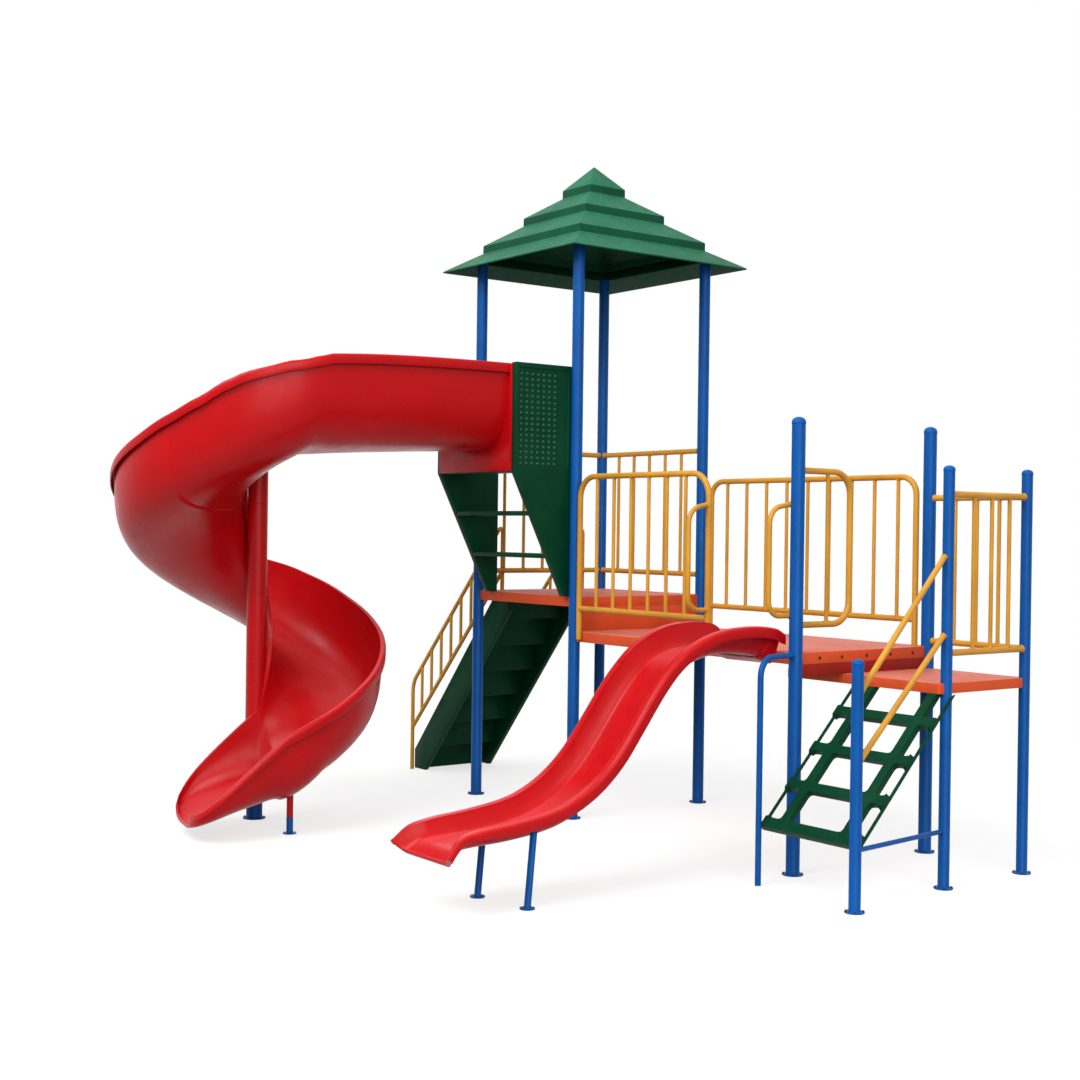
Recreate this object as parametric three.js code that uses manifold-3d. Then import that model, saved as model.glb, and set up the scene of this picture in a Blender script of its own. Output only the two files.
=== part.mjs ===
// Playground tower: a roofed square tower with two lower decks, a spiral slide, a wave slide,
// a rear stair and a ladder. Lengths are in millimetres, +Z is up. The origin is on the ground
// under the tower's front right post, +X runs to the lower decks and +Y to the rear.
import * as THREE from "three";
import { mergeVertices } from "three/addons/utils/BufferGeometryUtils.js";
import Module from "manifold-3d";

const wasm = await Module();
wasm.setup();

// Clearances
const seatGap = 0.3;
const overrun = 6;

// Posts
const towerBay = 920;
const postRadius = 31.75;
const lowPostRadius = 25.4;
const postWall = 3;
const plateLip = 17;
const plateThickness = 6;
const capPlug = 25;
const entryPostX = 1644;
const entryPostHeight = 2090;
const landingPostX = 2208;
const landingPostY = 361;
const landingPostHeight = 1867;
const ladderPostX = 2285;
const ladderPostY = -300;
const ladderPostHeight = 1045;

// Decks
const deckLip = 8;
const deckThickness = 55;
const deckSheet = 4;
const deckRib = 40;
const upperDeckTop = 1200;
const middleDeckTop = 1014;
const lowerDeckTop = 906;
const lowerDeckThickness = 45;
const lowerDeckFront = 310;
const riserThickness = 12;

// Roof
const roofWall = 8;
const eaveHalf = 630;
const eaveHeight = 3074;
const eaveEdge = 8;
const eaveRise = 103;
const tierRise = 111.5;
const tierFace = 45.5;
const tierOneHalf = 460;
const tierTwoHalf = 292;
const tierThreeHalf = 130;
const capRise = 139;
const roofRail = 36;

// Rails and guards
const railRadius = 16;
const barRadius = 10;
const gripRadius = 13;
const guardLow = 1140;
const guardHigh = 1846;
const towerGuardLow = 1315;
const towerGuardHigh = 2027;
const landingGuardLow = 1040;
const landingGuardHigh = 1740;
const landingBarShift = 24;
const towerGuardInset = 6;
const frontGuardStart = 70;
const frontGuardEnd = 1077;
const frontGuardEdgeBay = 144;
const frontGuardBarPitch = 139;
const frontGuardBars = 6;
const frontGuardCorner = 115;
const frontGuardFoot = 975;
const backGuardStart = 100;
const backGuardInset = 15;
const backGuardEnd = 1575;
const backGuardEdgeBay = 130;
const backGuardEndBay = 115;
const backGuardCorner = 90;
const sideGuardReach = 348;
const sideGuardBar = 197;
const sideGuardCorner = 105;
const handleReach = 152;
const handleCorner = 60;
const handleLow = 1182;
const handleHigh = 1691;
const handleInset = 26;

// Climb from the upper deck to the spiral slide
const climbSpan = 753;
const panelThickness = 40;
const panelReach = 385;
const panelBack = 10;
const panelHigh = 2446;
const panelCorner = 1870;
const panelFoot = 50;
const panelLip = 26;
const panelRecess = 6;
const stepPitch = 230;
const stepDepth = 150;
const stepThickness = 24;
const stepFrontInset = 3;

// Spiral slide
const spiralX = -921;
const spiralY = -1432;
const troughWall = 9;
const troughLip = 30;
const troughSkirt = 50;
const flangeThickness = 9;
const flangeLap = 10;
const flangeLow = 1870;
const spiralRimTop = 2440;
const spiralRimTurn = 2425;
const spiralRimExit = 530;
const spiralRimTip = 130;
const spiralDepthTop = 455;
const spiralDepthExit = 350;
const spiralDepthTip = 70;
const spiralOuterTop = 846;
const spiralOuterTurn = 815;
const spiralOuterExit = 695;
const spiralInnerTop = 181;
const spiralBankTop = 70;
const spiralBankExit = -20;
const spiralExitLength = 455;
const spiralTurnDegrees = 372;
const columnRadius = 43;
const sleeveWall = 9.7;
const sleeveLow = 240;
const columnHeight = 2150;
const exitLegX = -444;
const exitLegY = -1469;
const exitLegRadius = 17;
const exitLegHeight = 260;
const exitLegPaint = 84;

// Wave slide
const waveStart = 1100;
const waveEnd = 1590;
const waveRun = 1823;
const waveRimHigh = 1132;
const waveRimLow = 265;
const waveDepthTop = 145;
const waveDepth = 95;
const waveFarNarrowing = 34;
const waveNearNarrowing = 56;
const waveDepthTip = 62;
const waveLegRadius = 15;
const waveLegTop = 420;
const waveLegLean = 38;
const waveLegLeftX = 1205;
const waveLegRightX = 1490;
const waveLegLeftY = -1440;
const waveLegRightY = -1387;

// Rear stair
const stairStart = 225;
const stairWidth = 525;
const stairRun = 1035;
const stairRises = 7;
const stringerThickness = 30;
const stringerFoot = 123;
const stringerNose = 122;
const stringerHead = 121;
const stairShell = 14;
const stairNosing = 33;
const stairTop = 1195;
const stairRailOffset = 28;
const stairRailReach = 985;
const stairRailCorner = 60;
const stairRailKnee = 560;
const stairRailHead = 1600;
const stairRailDrop = 290;
const stairRailLeg = 450;

// Ladder
const ladderStart = 1705;
const ladderEnd = 2266;
const ladderHeadY = 330;
const ladderPitchDegrees = 45.6;
const ladderRungs = 4;
const ladderRungPitch = 217;
const ladderTopBay = 169;
const ladderRungWidth = 46;
const ladderRim = 11;
const ladderStringer = 44;
const ladderStringerInset = 92;
const ladderThickness = 32;
const ladderWindowCorner = 18;
const ladderFootDrop = 30;
const ladderRailUpper = 886;
const ladderRailUpperHead = 1490;
const ladderRailLower = 605;
const ladderRailLowerHead = 1140;
const braceHeight = 255;
const braceRadius = 11;
const pipeX = 1709;
const pipeY = -285;
const pipeRadius = 14;
const pipeHigh = 1004;
const pipeBend = 85;

// Smoothness
const postSides = 24;
const railSides = 8;
const barSides = 6;
const cornerSteps = 4;
const troughSteps = 12;
const spiralStep = 12;
const troughSquareness = 0.62;

// Shares of a slide's length by which its edges have drawn in and its depth has settled
const spiralDrawnShare = 0.75;
const waveDrawnShare = 0.35;
const waveSettledShare = 0.3;

// Share of the wave slide's run and of its fall at each control point of the rim.
const waveRunShares = [0.004, 0.033, 0.099, 0.181, 0.247, 0.307, 0.357, 0.406, 0.466,
  0.521, 0.581, 0.647, 0.713, 0.812, 0.905, 0.96, 1];
const waveHeightShares = [0.96, 0.988, 1, 0.988, 0.95, 0.885, 0.799, 0.686, 0.521,
  0.377, 0.266, 0.188, 0.145, 0.116, 0.098, 0.071, 0];

const paint = {
  blue: { color: 0x145fb0, roughness: 0.42, metalness: 0.1 },
  yellow: { color: 0xd9992c, roughness: 0.45, metalness: 0.1 },
  orange: { color: 0xdf5330, roughness: 0.6, metalness: 0 },
  red: { color: 0xc8191e, roughness: 0.38, metalness: 0 },
  green: { color: 0x14502f, roughness: 0.5, metalness: 0 },
  roof: { color: 0x2f7a55, roughness: 0.5, metalness: 0 },
};

const group = new THREE.Group();

function addMesh(name, shape, finish) {
  const geometry = shape.isBufferGeometry ? shape : geometryOf(shape);
  const mesh = new THREE.Mesh(geometry, new THREE.MeshStandardMaterial(finish));
  mesh.name = name;
  group.add(mesh);
}

// Solids: joining and cutting
function solidOf(geometry) {
  const bare = geometry.clone();
  bare.deleteAttribute("normal");
  bare.deleteAttribute("uv");
  const merged = mergeVertices(bare);
  const corners = Array.from(merged.index.array);
  const faces = [];
  for (let i = 0; i < corners.length; i += 3) {
    const [a, b, c] = corners.slice(i, i + 3);
    if (a !== b && b !== c && c !== a) faces.push([a, b, c]);
  }
  const vertProperties = new Float32Array(merged.attributes.position.array);
  const build = (list) =>
    new wasm.Manifold(
      new wasm.Mesh({ numProp: 3, vertProperties, triVerts: new Uint32Array(list.flat()) }),
    );
  const solid = build(faces);
  return solid.volume() > 0 ? solid : build(faces.map(([a, b, c]) => [a, c, b]));
}

function geometryOf(solid) {
  const mesh = solid.getMesh();
  const geometry = new THREE.BufferGeometry();
  geometry.setAttribute("position", new THREE.BufferAttribute(mesh.vertProperties, 3));
  geometry.setIndex(new THREE.BufferAttribute(mesh.triVerts, 1));
  return geometry;
}

const join = (...shapes) => shapes.map(asSolid).reduce((whole, next) => whole.add(next));
const cut = (shape, ...tools) =>
  tools.map(asSolid).reduce((rest, tool) => rest.subtract(tool), asSolid(shape));

function asSolid(shape) {
  return shape.isBufferGeometry ? solidOf(shape) : shape;
}

// The piece of a cut solid that reaches lowest.
function lowestPart(solid) {
  const floors = solid.decompose();
  return floors.reduce((low, next) =>
    next.boundingBox().min[2] < low.boundingBox().min[2] ? next : low);
}

// Simple shapes
const at = (x, y, z) => new THREE.Vector3(x, y, z);

function box(low, high) {
  const size = high.clone().sub(low);
  const middle = low.clone().add(high).multiplyScalar(0.5);
  return new THREE.BoxGeometry(size.x, size.y, size.z).translate(middle.x, middle.y, middle.z);
}

// A turned solid standing on a vertical axis: [radius, height] pairs.
function turned(profile, x, y, sides = postSides) {
  const points = profile.map(([radius, height]) => new THREE.Vector2(radius, height));
  return new THREE.LatheGeometry(points, sides).rotateX(Math.PI / 2).translate(x, y, 0);
}

const cylinder = (x, y, radius, low, high) =>
  turned([[0, low], [radius, low], [radius, high], [0, high]], x, y);

// A path with a ring at each of its own points.
class Route extends THREE.Curve {
  constructor(points) {
    super();
    this.points = points;
  }
  indexAt(share) {
    return Math.round(share * (this.points.length - 1));
  }
  getPointAt(share) {
    return this.points[this.indexAt(share)].clone();
  }
  getTangentAt(share) {
    const index = this.indexAt(share);
    const here = this.points[index];
    const heading = new THREE.Vector3();
    if (index > 0) {
      heading.add(here.clone().sub(this.points[index - 1]).normalize());
    }
    if (index < this.points.length - 1) {
      heading.add(this.points[index + 1].clone().sub(here).normalize());
    }
    return heading.normalize();
  }
}

function tube(points, radius, sides = railSides) {
  const section = new THREE.Shape();
  for (let i = 0; i < sides; i += 1) {
    const turn = ((i + 0.5) / sides) * Math.PI * 2;
    section[i ? "lineTo" : "moveTo"](radius * Math.cos(turn), radius * Math.sin(turn));
  }
  return new THREE.ExtrudeGeometry(section, {
    steps: points.length - 1,
    extrudePath: new Route(points),
  });
}

// The corners of a bent tube rounded to one bend radius.
function bent(corners, radius) {
  const points = [corners[0]];
  for (let i = 1; i < corners.length - 1; i += 1) {
    const corner = corners[i];
    const before = corners[i - 1].clone().sub(corner).setLength(radius).add(corner);
    const after = corners[i + 1].clone().sub(corner).setLength(radius).add(corner);
    points.push(...new THREE.QuadraticBezierCurve3(before, corner, after).getPoints(cornerSteps));
  }
  points.push(corners.at(-1));
  return points;
}

// Rings of equal count, closed at both ends.
function loft(rings, endSections) {
  const count = rings[0].length;
  const positions = rings.flat().flatMap((point) => point.toArray());
  const index = [];
  for (let i = 0; i < rings.length - 1; i += 1) {
    for (let k = 0; k < count; k += 1) {
      const a = i * count + k;
      const b = i * count + ((k + 1) % count);
      index.push(a, b, b + count, a, b + count, a + count);
    }
  }
  const [firstSection, lastSection] = endSections;
  const lastRing = (rings.length - 1) * count;
  for (const [a, b, c] of THREE.ShapeUtils.triangulateShape(firstSection, [])) {
    index.push(c, b, a);
  }
  for (const [a, b, c] of THREE.ShapeUtils.triangulateShape(lastSection, [])) {
    index.push(lastRing + a, lastRing + b, lastRing + c);
  }
  const geometry = new THREE.BufferGeometry();
  geometry.setAttribute("position", new THREE.Float32BufferAttribute(positions, 3));
  geometry.setIndex(index);
  return solidOf(geometry);
}

// A slide's cross-section: across and height pairs, with a rounded floor and turned-down rims.
function troughCurve(middle, half, rim, fall) {
  const points = [];
  for (let k = 0; k <= troughSteps; k += 1) {
    const turn = (k / troughSteps) * Math.PI;
    const across = Math.sign(-Math.cos(turn)) * Math.abs(Math.cos(turn)) ** troughSquareness;
    const down = Math.abs(Math.sin(turn)) ** troughSquareness;
    points.push(new THREE.Vector2(middle + half * across, rim - fall * down));
  }
  return points;
}

function troughSection(low, high, rim, depth) {
  const middle = (low + high) / 2;
  const half = (high - low) / 2 - troughLip;
  const inside = troughCurve(middle, half, rim, depth - troughWall);
  const outside = troughCurve(middle, half + troughWall, rim - troughWall, depth - troughWall);
  const skirt = Math.min(troughSkirt, depth - troughWall);
  const lip = (edge, side) => [
    new THREE.Vector2(edge, rim),
    new THREE.Vector2(edge, rim - skirt),
    new THREE.Vector2(edge - side * troughWall, rim - skirt),
    new THREE.Vector2(edge - side * troughWall, rim - troughWall),
  ];
  const round = [...inside, ...lip(high, 1), ...outside.reverse(), ...lip(low, -1).reverse()];
  return round.reverse();
}

// Posts, with their base plates and domed caps
const rearY = towerBay;
const leftX = -towerBay;
const roofCentreX = leftX / 2;
const roofCentreY = rearY / 2;
const roofSlope = eaveRise / (eaveHalf - tierOneHalf);
const roofRailHalf = towerBay / 2 + roofRail / 2;
const roofRailTop = eaveHeight + (eaveHalf - roofRailHalf) * roofSlope - roofWall * (1 + roofSlope);
const roofRailLow = roofRailTop - roofRail;
const towerPostHeight = roofRailLow - seatGap;

const posts = {
  tower_post_front_left: { x: leftX, y: 0, radius: postRadius, top: towerPostHeight },
  tower_post_front_right: { x: 0, y: 0, radius: postRadius, top: towerPostHeight },
  tower_post_rear_left: { x: leftX, y: rearY, radius: postRadius, top: towerPostHeight },
  tower_post_rear_right: { x: 0, y: rearY, radius: postRadius, top: towerPostHeight },
  entry_post_front: { x: entryPostX, y: 0, radius: postRadius, dome: entryPostHeight },
  entry_post_rear: { x: entryPostX, y: rearY, radius: postRadius, dome: entryPostHeight },
  landing_post_front: { x: landingPostX, y: landingPostY, radius: lowPostRadius,
    dome: landingPostHeight },
  landing_post_rear: { x: landingPostX, y: rearY, radius: lowPostRadius,
    dome: landingPostHeight },
  ladder_post: { x: ladderPostX, y: ladderPostY, radius: lowPostRadius, dome: ladderPostHeight },
};

function postShape(x, y, radius, top) {
  const bore = radius - postWall;
  const plate = radius + plateLip;
  return turned([[0, 0], [plate, 0], [plate, plateThickness], [radius, plateThickness],
    [radius, top], [bore, top], [bore, plateThickness], [0, plateThickness]], x, y);
}

function capShape(x, y, radius, seat) {
  const plug = radius - postWall - seatGap;
  const low = seat + seatGap;
  const dome = [];
  for (let k = 0; k <= cornerSteps; k += 1) {
    const turn = (k / cornerSteps) * (Math.PI / 2);
    dome.push([radius * Math.cos(turn), low + radius * Math.sin(turn)]);
  }
  dome.at(-1)[0] = 0;
  return turned([[0, low - capPlug], [plug, low - capPlug], [plug, low], ...dome], x, y);
}

for (const [name, post] of Object.entries(posts)) {
  const { x, y, radius, dome } = post;
  if (dome) post.top = dome - radius - seatGap;
  addMesh(name, postShape(x, y, radius, post.top), paint.blue);
  if (dome) addMesh(`${name}_cap`, capShape(x, y, radius, post.top), paint.blue);
}

const postVoid = ({ x, y, radius, top }) =>
  cylinder(x, y, radius + seatGap, -overrun, top + radius);
const clearOf = (shape, ...names) =>
  cut(shape, ...names.map((name) => postVoid(posts[name])));

// Roof: a frame on the post tops and a hollow stepped canopy over it
function squareRing(half, width, low, high) {
  const block = (reach, bottom, top) =>
    box(at(roofCentreX - reach, roofCentreY - reach, bottom),
      at(roofCentreX + reach, roofCentreY + reach, top));
  return cut(block(half, low, high), block(half - width, low - overrun, high + overrun));
}

addMesh("roof_frame", squareRing(roofRailHalf, roofRail, roofRailLow, roofRailTop - seatGap),
  paint.green);

function canopyProfile() {
  const tiers = [[tierOneHalf, eaveRise], [tierTwoHalf, tierRise], [tierThreeHalf, tierRise]];
  const outer = [[eaveHalf, eaveHeight - eaveEdge], [eaveHalf, eaveHeight]];
  let height = eaveHeight;
  for (const [half, rise] of tiers) {
    height += rise;
    outer.push([half, height]);
    height += tierFace;
    outer.push([half, height]);
  }
  outer.push([0, height + capRise]);
  const inner = outer.slice(1, -1).map(([half, level]) => [half - roofWall, level - roofWall]);
  inner[0] = [eaveHalf - roofWall, eaveHeight - eaveEdge];
  inner.push([0, height + capRise - roofWall * 2]);
  return [...inner.reverse(), ...outer];
}

function canopy() {
  const profile = canopyProfile().map(([half, level]) => [half * Math.SQRT2, level]);
  const points = profile.map(([radius, level]) => new THREE.Vector2(radius, level));
  return new THREE.LatheGeometry(points, 4, Math.PI / 4)
    .rotateX(Math.PI / 2)
    .translate(roofCentreX, roofCentreY, 0);
}

addMesh("roof_canopy", canopy(), paint.roof);

// Decks: folded sheet pans with a rib, notched round the posts
function deckPan(low, high) {
  const pan = box(low, high);
  const middle = (low.x + high.x) / 2;
  const underside = low.z - overrun;
  const ceiling = high.z - deckSheet;
  const pocket = (start, end) =>
    box(at(start, low.y + deckSheet, underside), at(end, high.y - deckSheet, ceiling));
  return cut(pan, pocket(low.x + deckSheet, middle - deckRib / 2),
    pocket(middle + deckRib / 2, high.x - deckSheet));
}

const upperDeckLow = upperDeckTop - deckThickness;
const middleDeckLow = middleDeckTop - deckThickness;
const lowerDeckLow = lowerDeckTop - lowerDeckThickness;
const middleDeckEnd = entryPostX + deckLip;
const lowerDeckStart = landingPostX - towerBay;
const lowerDeckEnd = landingPostX + deckLip;

addMesh("upper_deck", clearOf(
  deckPan(at(leftX - deckLip, -deckLip, upperDeckLow),
    at(deckLip, rearY + deckLip, upperDeckTop)),
  "tower_post_front_left", "tower_post_front_right",
  "tower_post_rear_left", "tower_post_rear_right"), paint.orange);
addMesh("middle_deck", clearOf(
  deckPan(at(-deckLip, -deckLip, middleDeckLow),
    at(middleDeckEnd, rearY + deckLip, middleDeckTop)),
  "tower_post_front_right", "tower_post_rear_right",
  "entry_post_front", "entry_post_rear"), paint.orange);
addMesh("lower_deck", clearOf(
  deckPan(at(lowerDeckStart, lowerDeckFront, lowerDeckLow),
    at(lowerDeckEnd, rearY + deckLip, lowerDeckTop)),
  "entry_post_rear", "landing_post_front", "landing_post_rear"), paint.orange);

function deckRiser(end, front, back, low, high) {
  return box(at(end - riserThickness, front, low + seatGap), at(end, back, high - seatGap));
}

addMesh("upper_deck_riser", clearOf(
  deckRiser(deckLip, 0, rearY, middleDeckTop, upperDeckLow),
  "tower_post_front_right", "tower_post_rear_right"), paint.orange);
addMesh("middle_deck_riser", clearOf(
  deckRiser(middleDeckEnd, 0, rearY, lowerDeckTop, middleDeckLow),
  "entry_post_front", "entry_post_rear"), paint.orange);

// Guards
const upright = (x, y, low, high, radius = barRadius, sides = barSides) =>
  tube([at(x, y, low), at(x, y, high)], radius, sides);

// Evenly spaced bars between two points in plan.
function evenBars(start, end, count, low, high) {
  const bars = [];
  for (let i = 1; i <= count; i += 1) {
    const place = start.clone().lerp(end, i / (count + 1));
    bars.push(upright(place.x, place.y, low, high));
  }
  return bars;
}

// A guard of two rails and bars between a pair of posts.
function postGuard(from, to, shift, count, low, high, barShift = 0) {
  const first = posts[from];
  const last = posts[to];
  const start = at(first.x, first.y, 0).add(shift);
  const end = at(last.x, last.y, 0).add(shift);
  const rail = (level) =>
    tube([start.clone().setZ(level), end.clone().setZ(level)], railRadius);
  const along = end.clone().sub(start).normalize();
  const barStart = start.clone().addScaledVector(along, first.radius + barShift);
  const barEnd = end.clone().addScaledVector(along, barShift - last.radius);
  const bars = evenBars(barStart, barEnd, count, low, high);
  return clearOf(join(rail(low), rail(high), ...bars), from, to);
}

const leftGuardShift = at(towerGuardInset, 0, 0);
const rearGuardShift = at(0, -towerGuardInset, 0);
addMesh("left_guard", postGuard("tower_post_front_left", "tower_post_rear_left",
  leftGuardShift, 5, towerGuardLow, towerGuardHigh), paint.yellow);
addMesh("rear_guard", postGuard("tower_post_rear_left", "tower_post_rear_right",
  rearGuardShift, 5, towerGuardLow, towerGuardHigh), paint.yellow);
addMesh("landing_rear_guard", postGuard("entry_post_rear", "landing_post_rear",
  at(0, 0, 0), 3, landingGuardLow, landingGuardHigh), paint.yellow);
addMesh("landing_side_guard", postGuard("landing_post_front", "landing_post_rear",
  at(0, 0, 0), 3, landingGuardLow, landingGuardHigh, landingBarShift), paint.yellow);

const railFlat = railRadius * Math.cos(Math.PI / railSides);
const frontGuardY = -deckLip - railFlat - seatGap;
const frontGuardToe = guardLow - railRadius;

function frontGuard() {
  const frame = bent([at(frontGuardStart, frontGuardY, frontGuardFoot),
    at(frontGuardStart, frontGuardY, guardHigh), at(frontGuardEnd, frontGuardY, guardHigh),
    at(frontGuardEnd, frontGuardY, frontGuardToe)], frontGuardCorner);
  const start = at(frontGuardStart, frontGuardY, guardLow);
  const end = at(frontGuardEnd, frontGuardY, guardLow);
  const bars = Array.from({ length: frontGuardBars }, (unused, i) =>
    upright(frontGuardStart + frontGuardEdgeBay + i * frontGuardBarPitch, frontGuardY,
      guardLow, guardHigh));
  return join(tube(frame, railRadius), tube([start, end], railRadius), ...bars);
}

addMesh("front_guard", frontGuard(), paint.yellow);

function backGuard() {
  const y = rearY - backGuardInset;
  const foot = middleDeckTop + seatGap;
  const frame = bent([at(backGuardStart, y, foot), at(backGuardStart, y, guardHigh),
    at(backGuardEnd, y, guardHigh), at(backGuardEnd, y, foot)], backGuardCorner);
  const barStart = at(backGuardStart + backGuardEdgeBay, y, 0);
  const barEnd = at(backGuardEnd - backGuardEndBay, y, 0);
  const rail = tube([at(backGuardStart, y, guardLow), at(backGuardEnd, y, guardLow)],
    railRadius);
  const bars = [barStart, barEnd].map(({ x }) => upright(x, y, guardLow, guardHigh));
  bars.push(...evenBars(barStart, barEnd, 7, guardLow, guardHigh));
  return join(tube(frame, railRadius), rail, ...bars);
}

addMesh("back_guard", backGuard(), paint.yellow);

// A loop that leaves a support, turns down and comes back to it.
function loopRoute(root, reach, low, high, radius) {
  const outer = root.clone().add(reach);
  return bent([root.clone().setZ(high), outer.clone().setZ(high), outer.clone().setZ(low),
    root.clone().setZ(low)], radius);
}

const sideGuardLoop = tube(loopRoute(at(entryPostX, 0, 0), at(0, sideGuardReach, 0),
  guardLow, guardHigh, sideGuardCorner), railRadius);
addMesh("side_guard", clearOf(
  join(sideGuardLoop, upright(entryPostX, sideGuardBar, guardLow, guardHigh)),
  "entry_post_front"), paint.yellow);

const handleOut = at(0, -handleReach, 0);
const leftHandleRoot = at(frontGuardEnd, frontGuardY, 0);
const leftHandle = tube(loopRoute(leftHandleRoot, handleOut.clone().setY(-handleReach
  - frontGuardY), handleLow, handleHigh, handleCorner), gripRadius);
const guardLegVoid = upright(frontGuardEnd, frontGuardY, frontGuardToe - overrun, guardHigh,
  railRadius + seatGap, railSides);
addMesh("slide_handle_left", cut(leftHandle, guardLegVoid), paint.yellow);
const rightHandle = tube(loopRoute(at(entryPostX - handleInset, 0, 0), handleOut,
  handleLow, handleHigh, handleCorner), gripRadius);
addMesh("slide_handle_right", clearOf(rightHandle, "entry_post_front"), paint.yellow);

// Climb to the spiral slide: two side panels and three step plates between them
function panelOutline() {
  const slant = panelReach - panelFoot;
  const outline = new THREE.Shape();
  outline.moveTo(panelBack, upperDeckTop + seatGap);
  outline.lineTo(panelBack, panelHigh);
  outline.lineTo(-panelReach, panelHigh);
  outline.lineTo(-panelReach, panelCorner);
  outline.lineTo(-panelReach + slant, upperDeckTop + seatGap);
  return outline;
}

// An outline in Y and Z, thickened along +X from a starting place.
function sheetAlongX(outline, start, thickness) {
  return new THREE.ExtrudeGeometry(outline, { depth: thickness, bevelEnabled: false })
    .rotateX(Math.PI / 2)
    .rotateZ(Math.PI / 2)
    .translate(start, 0, 0);
}

function sidePanel(start, recessStart) {
  const field = box(at(recessStart, -panelReach + panelLip, panelCorner + panelLip),
    at(recessStart + panelRecess + overrun, -postRadius, panelHigh - panelLip));
  return cut(sheetAlongX(panelOutline(), start, panelThickness), field);
}

const rightPanelStart = -postRadius - seatGap - panelThickness;
const leftPanelStart = rightPanelStart + panelThickness - climbSpan;
addMesh("climb_panel_right", sidePanel(rightPanelStart, -postRadius - seatGap - panelRecess),
  paint.green);
addMesh("climb_panel_left", sidePanel(leftPanelStart, leftPanelStart - overrun), paint.green);

const stepStart = leftPanelStart + panelThickness + seatGap;
const stepEnd = rightPanelStart - seatGap;
const panelSlant = (panelReach - panelFoot) / (panelCorner - upperDeckTop);
["low", "middle", "high"].forEach((place, i) => {
  const top = upperDeckTop + stepPitch * (i + 1);
  const edge = -panelFoot - (top - upperDeckTop) * panelSlant;
  const front = Math.max(edge, -panelReach) + stepFrontInset;
  addMesh(`climb_step_${place}`, box(at(stepStart, front, top - stepThickness),
    at(stepEnd, front + stepDepth, top)), paint.green);
});

// Spiral slide
const spiralTurn = THREE.MathUtils.degToRad(spiralTurnDegrees);
const flangeBack = -panelReach - seatGap;
const flangeFront = flangeBack - flangeThickness;
const blend = THREE.MathUtils.lerp;
const stepTurn = THREE.MathUtils.degToRad(spiralStep);
const sleeveBore = columnRadius + seatGap;
const sleeveRadius = sleeveBore + sleeveWall;
const spiralInner = (sleeveRadius + seatGap) / Math.cos(stepTurn / 2);

// A station has a place on the column's axis, a heading, the trough's edges and levels, and how
// far its inner rim lies below its outer one.
function entryStation(share) {
  return {
    y: blend(flangeFront, spiralY, share),
    turn: 0,
    low: blend(spiralInnerTop, spiralInner, share),
    high: blend(spiralOuterTop, spiralOuterTurn, share),
    rim: blend(spiralRimTop, spiralRimTurn, share ** 4),
    depth: spiralDepthTop,
    bank: spiralBankTop * share,
    slip: 0,
  };
}

function turnStation(turn) {
  const share = turn / spiralTurn;
  return {
    y: spiralY,
    turn,
    low: spiralInner,
    high: blend(spiralOuterTurn, spiralOuterExit, Math.min(share / spiralDrawnShare, 1)),
    rim: blend(spiralRimTurn, spiralRimExit, share),
    depth: blend(spiralDepthTop, spiralDepthExit, share ** 1.5),
    bank: blend(spiralBankTop, spiralBankExit, share),
    slip: 0,
  };
}

function exitStation(share) {
  return {
    ...turnStation(spiralTurn),
    rim: blend(spiralRimExit, spiralRimTip, share),
    depth: blend(spiralDepthExit, spiralDepthTip, share),
    bank: spiralBankExit * (1 - share),
    slip: spiralExitLength * share,
  };
}

function stationSection({ low, high, rim, depth, bank }) {
  const section = troughSection(low, high, rim, depth);
  return section.map(({ x, y }) =>
    new THREE.Vector2(x, y - (bank * (high - x)) / (high - low)));
}

function stationRing(station) {
  const { y, turn, slip } = station;
  const across = at(Math.cos(turn), -Math.sin(turn), 0);
  const ahead = at(-Math.sin(turn), -Math.cos(turn), 0);
  return stationSection(station).map((point) => at(spiralX, y, point.y)
    .addScaledVector(across, point.x)
    .addScaledVector(ahead, slip));
}

const troughLoft = (stations) =>
  loft(stations.map(stationRing), [stationSection(stations[0]), stationSection(stations.at(-1))]);

function steps(count, make) {
  return Array.from({ length: count + 1 }, (unused, i) => make(i / count));
}

// The turn is moulded in three lengths, which meet at two seams.
const firstSeam = stepTurn * 5;
const secondSeam = stepTurn * 17;
const seamTurn = seatGap / spiralInner / 4;

function turnStations(from, to) {
  const count = Math.round((to - from) / stepTurn);
  return steps(count, (share) => turnStation(blend(from, to, share)));
}

function entryFlange() {
  const left = leftPanelStart + panelThickness - flangeLap;
  const right = rightPanelStart + flangeLap;
  const plate = box(at(left, flangeFront, flangeLow), at(right, flangeBack, spiralRimTop));
  const mouth = entryStation(0);
  const half = (mouth.high - mouth.low) / 2 - troughLip;
  const middle = (mouth.low + mouth.high) / 2;
  const curve = troughCurve(middle, half, mouth.rim, mouth.depth - troughWall);
  const opening = [new THREE.Vector2(middle - half, mouth.rim + overrun), ...curve,
    new THREE.Vector2(middle + half, mouth.rim + overrun)];
  const ring = (y) => opening.map((point) => at(spiralX + point.x, y, point.y));
  const tool = loft([ring(flangeBack + overrun), ring(flangeFront - overrun)],
    [opening, opening]);
  return cut(plate, tool);
}

const entryTrough = troughLoft([...steps(4, entryStation),
  ...turnStations(0, firstSeam - seamTurn).slice(1)]);
addMesh("spiral_entry_section", join(entryTrough, entryFlange()), paint.red);
addMesh("spiral_middle_section", troughLoft(turnStations(firstSeam, secondSeam - seamTurn)),
  paint.red);
const exitSection = troughLoft([...turnStations(secondSeam, spiralTurn),
  ...steps(4, exitStation).slice(1)]);
addMesh("spiral_exit_section", exitSection, paint.red);

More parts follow.
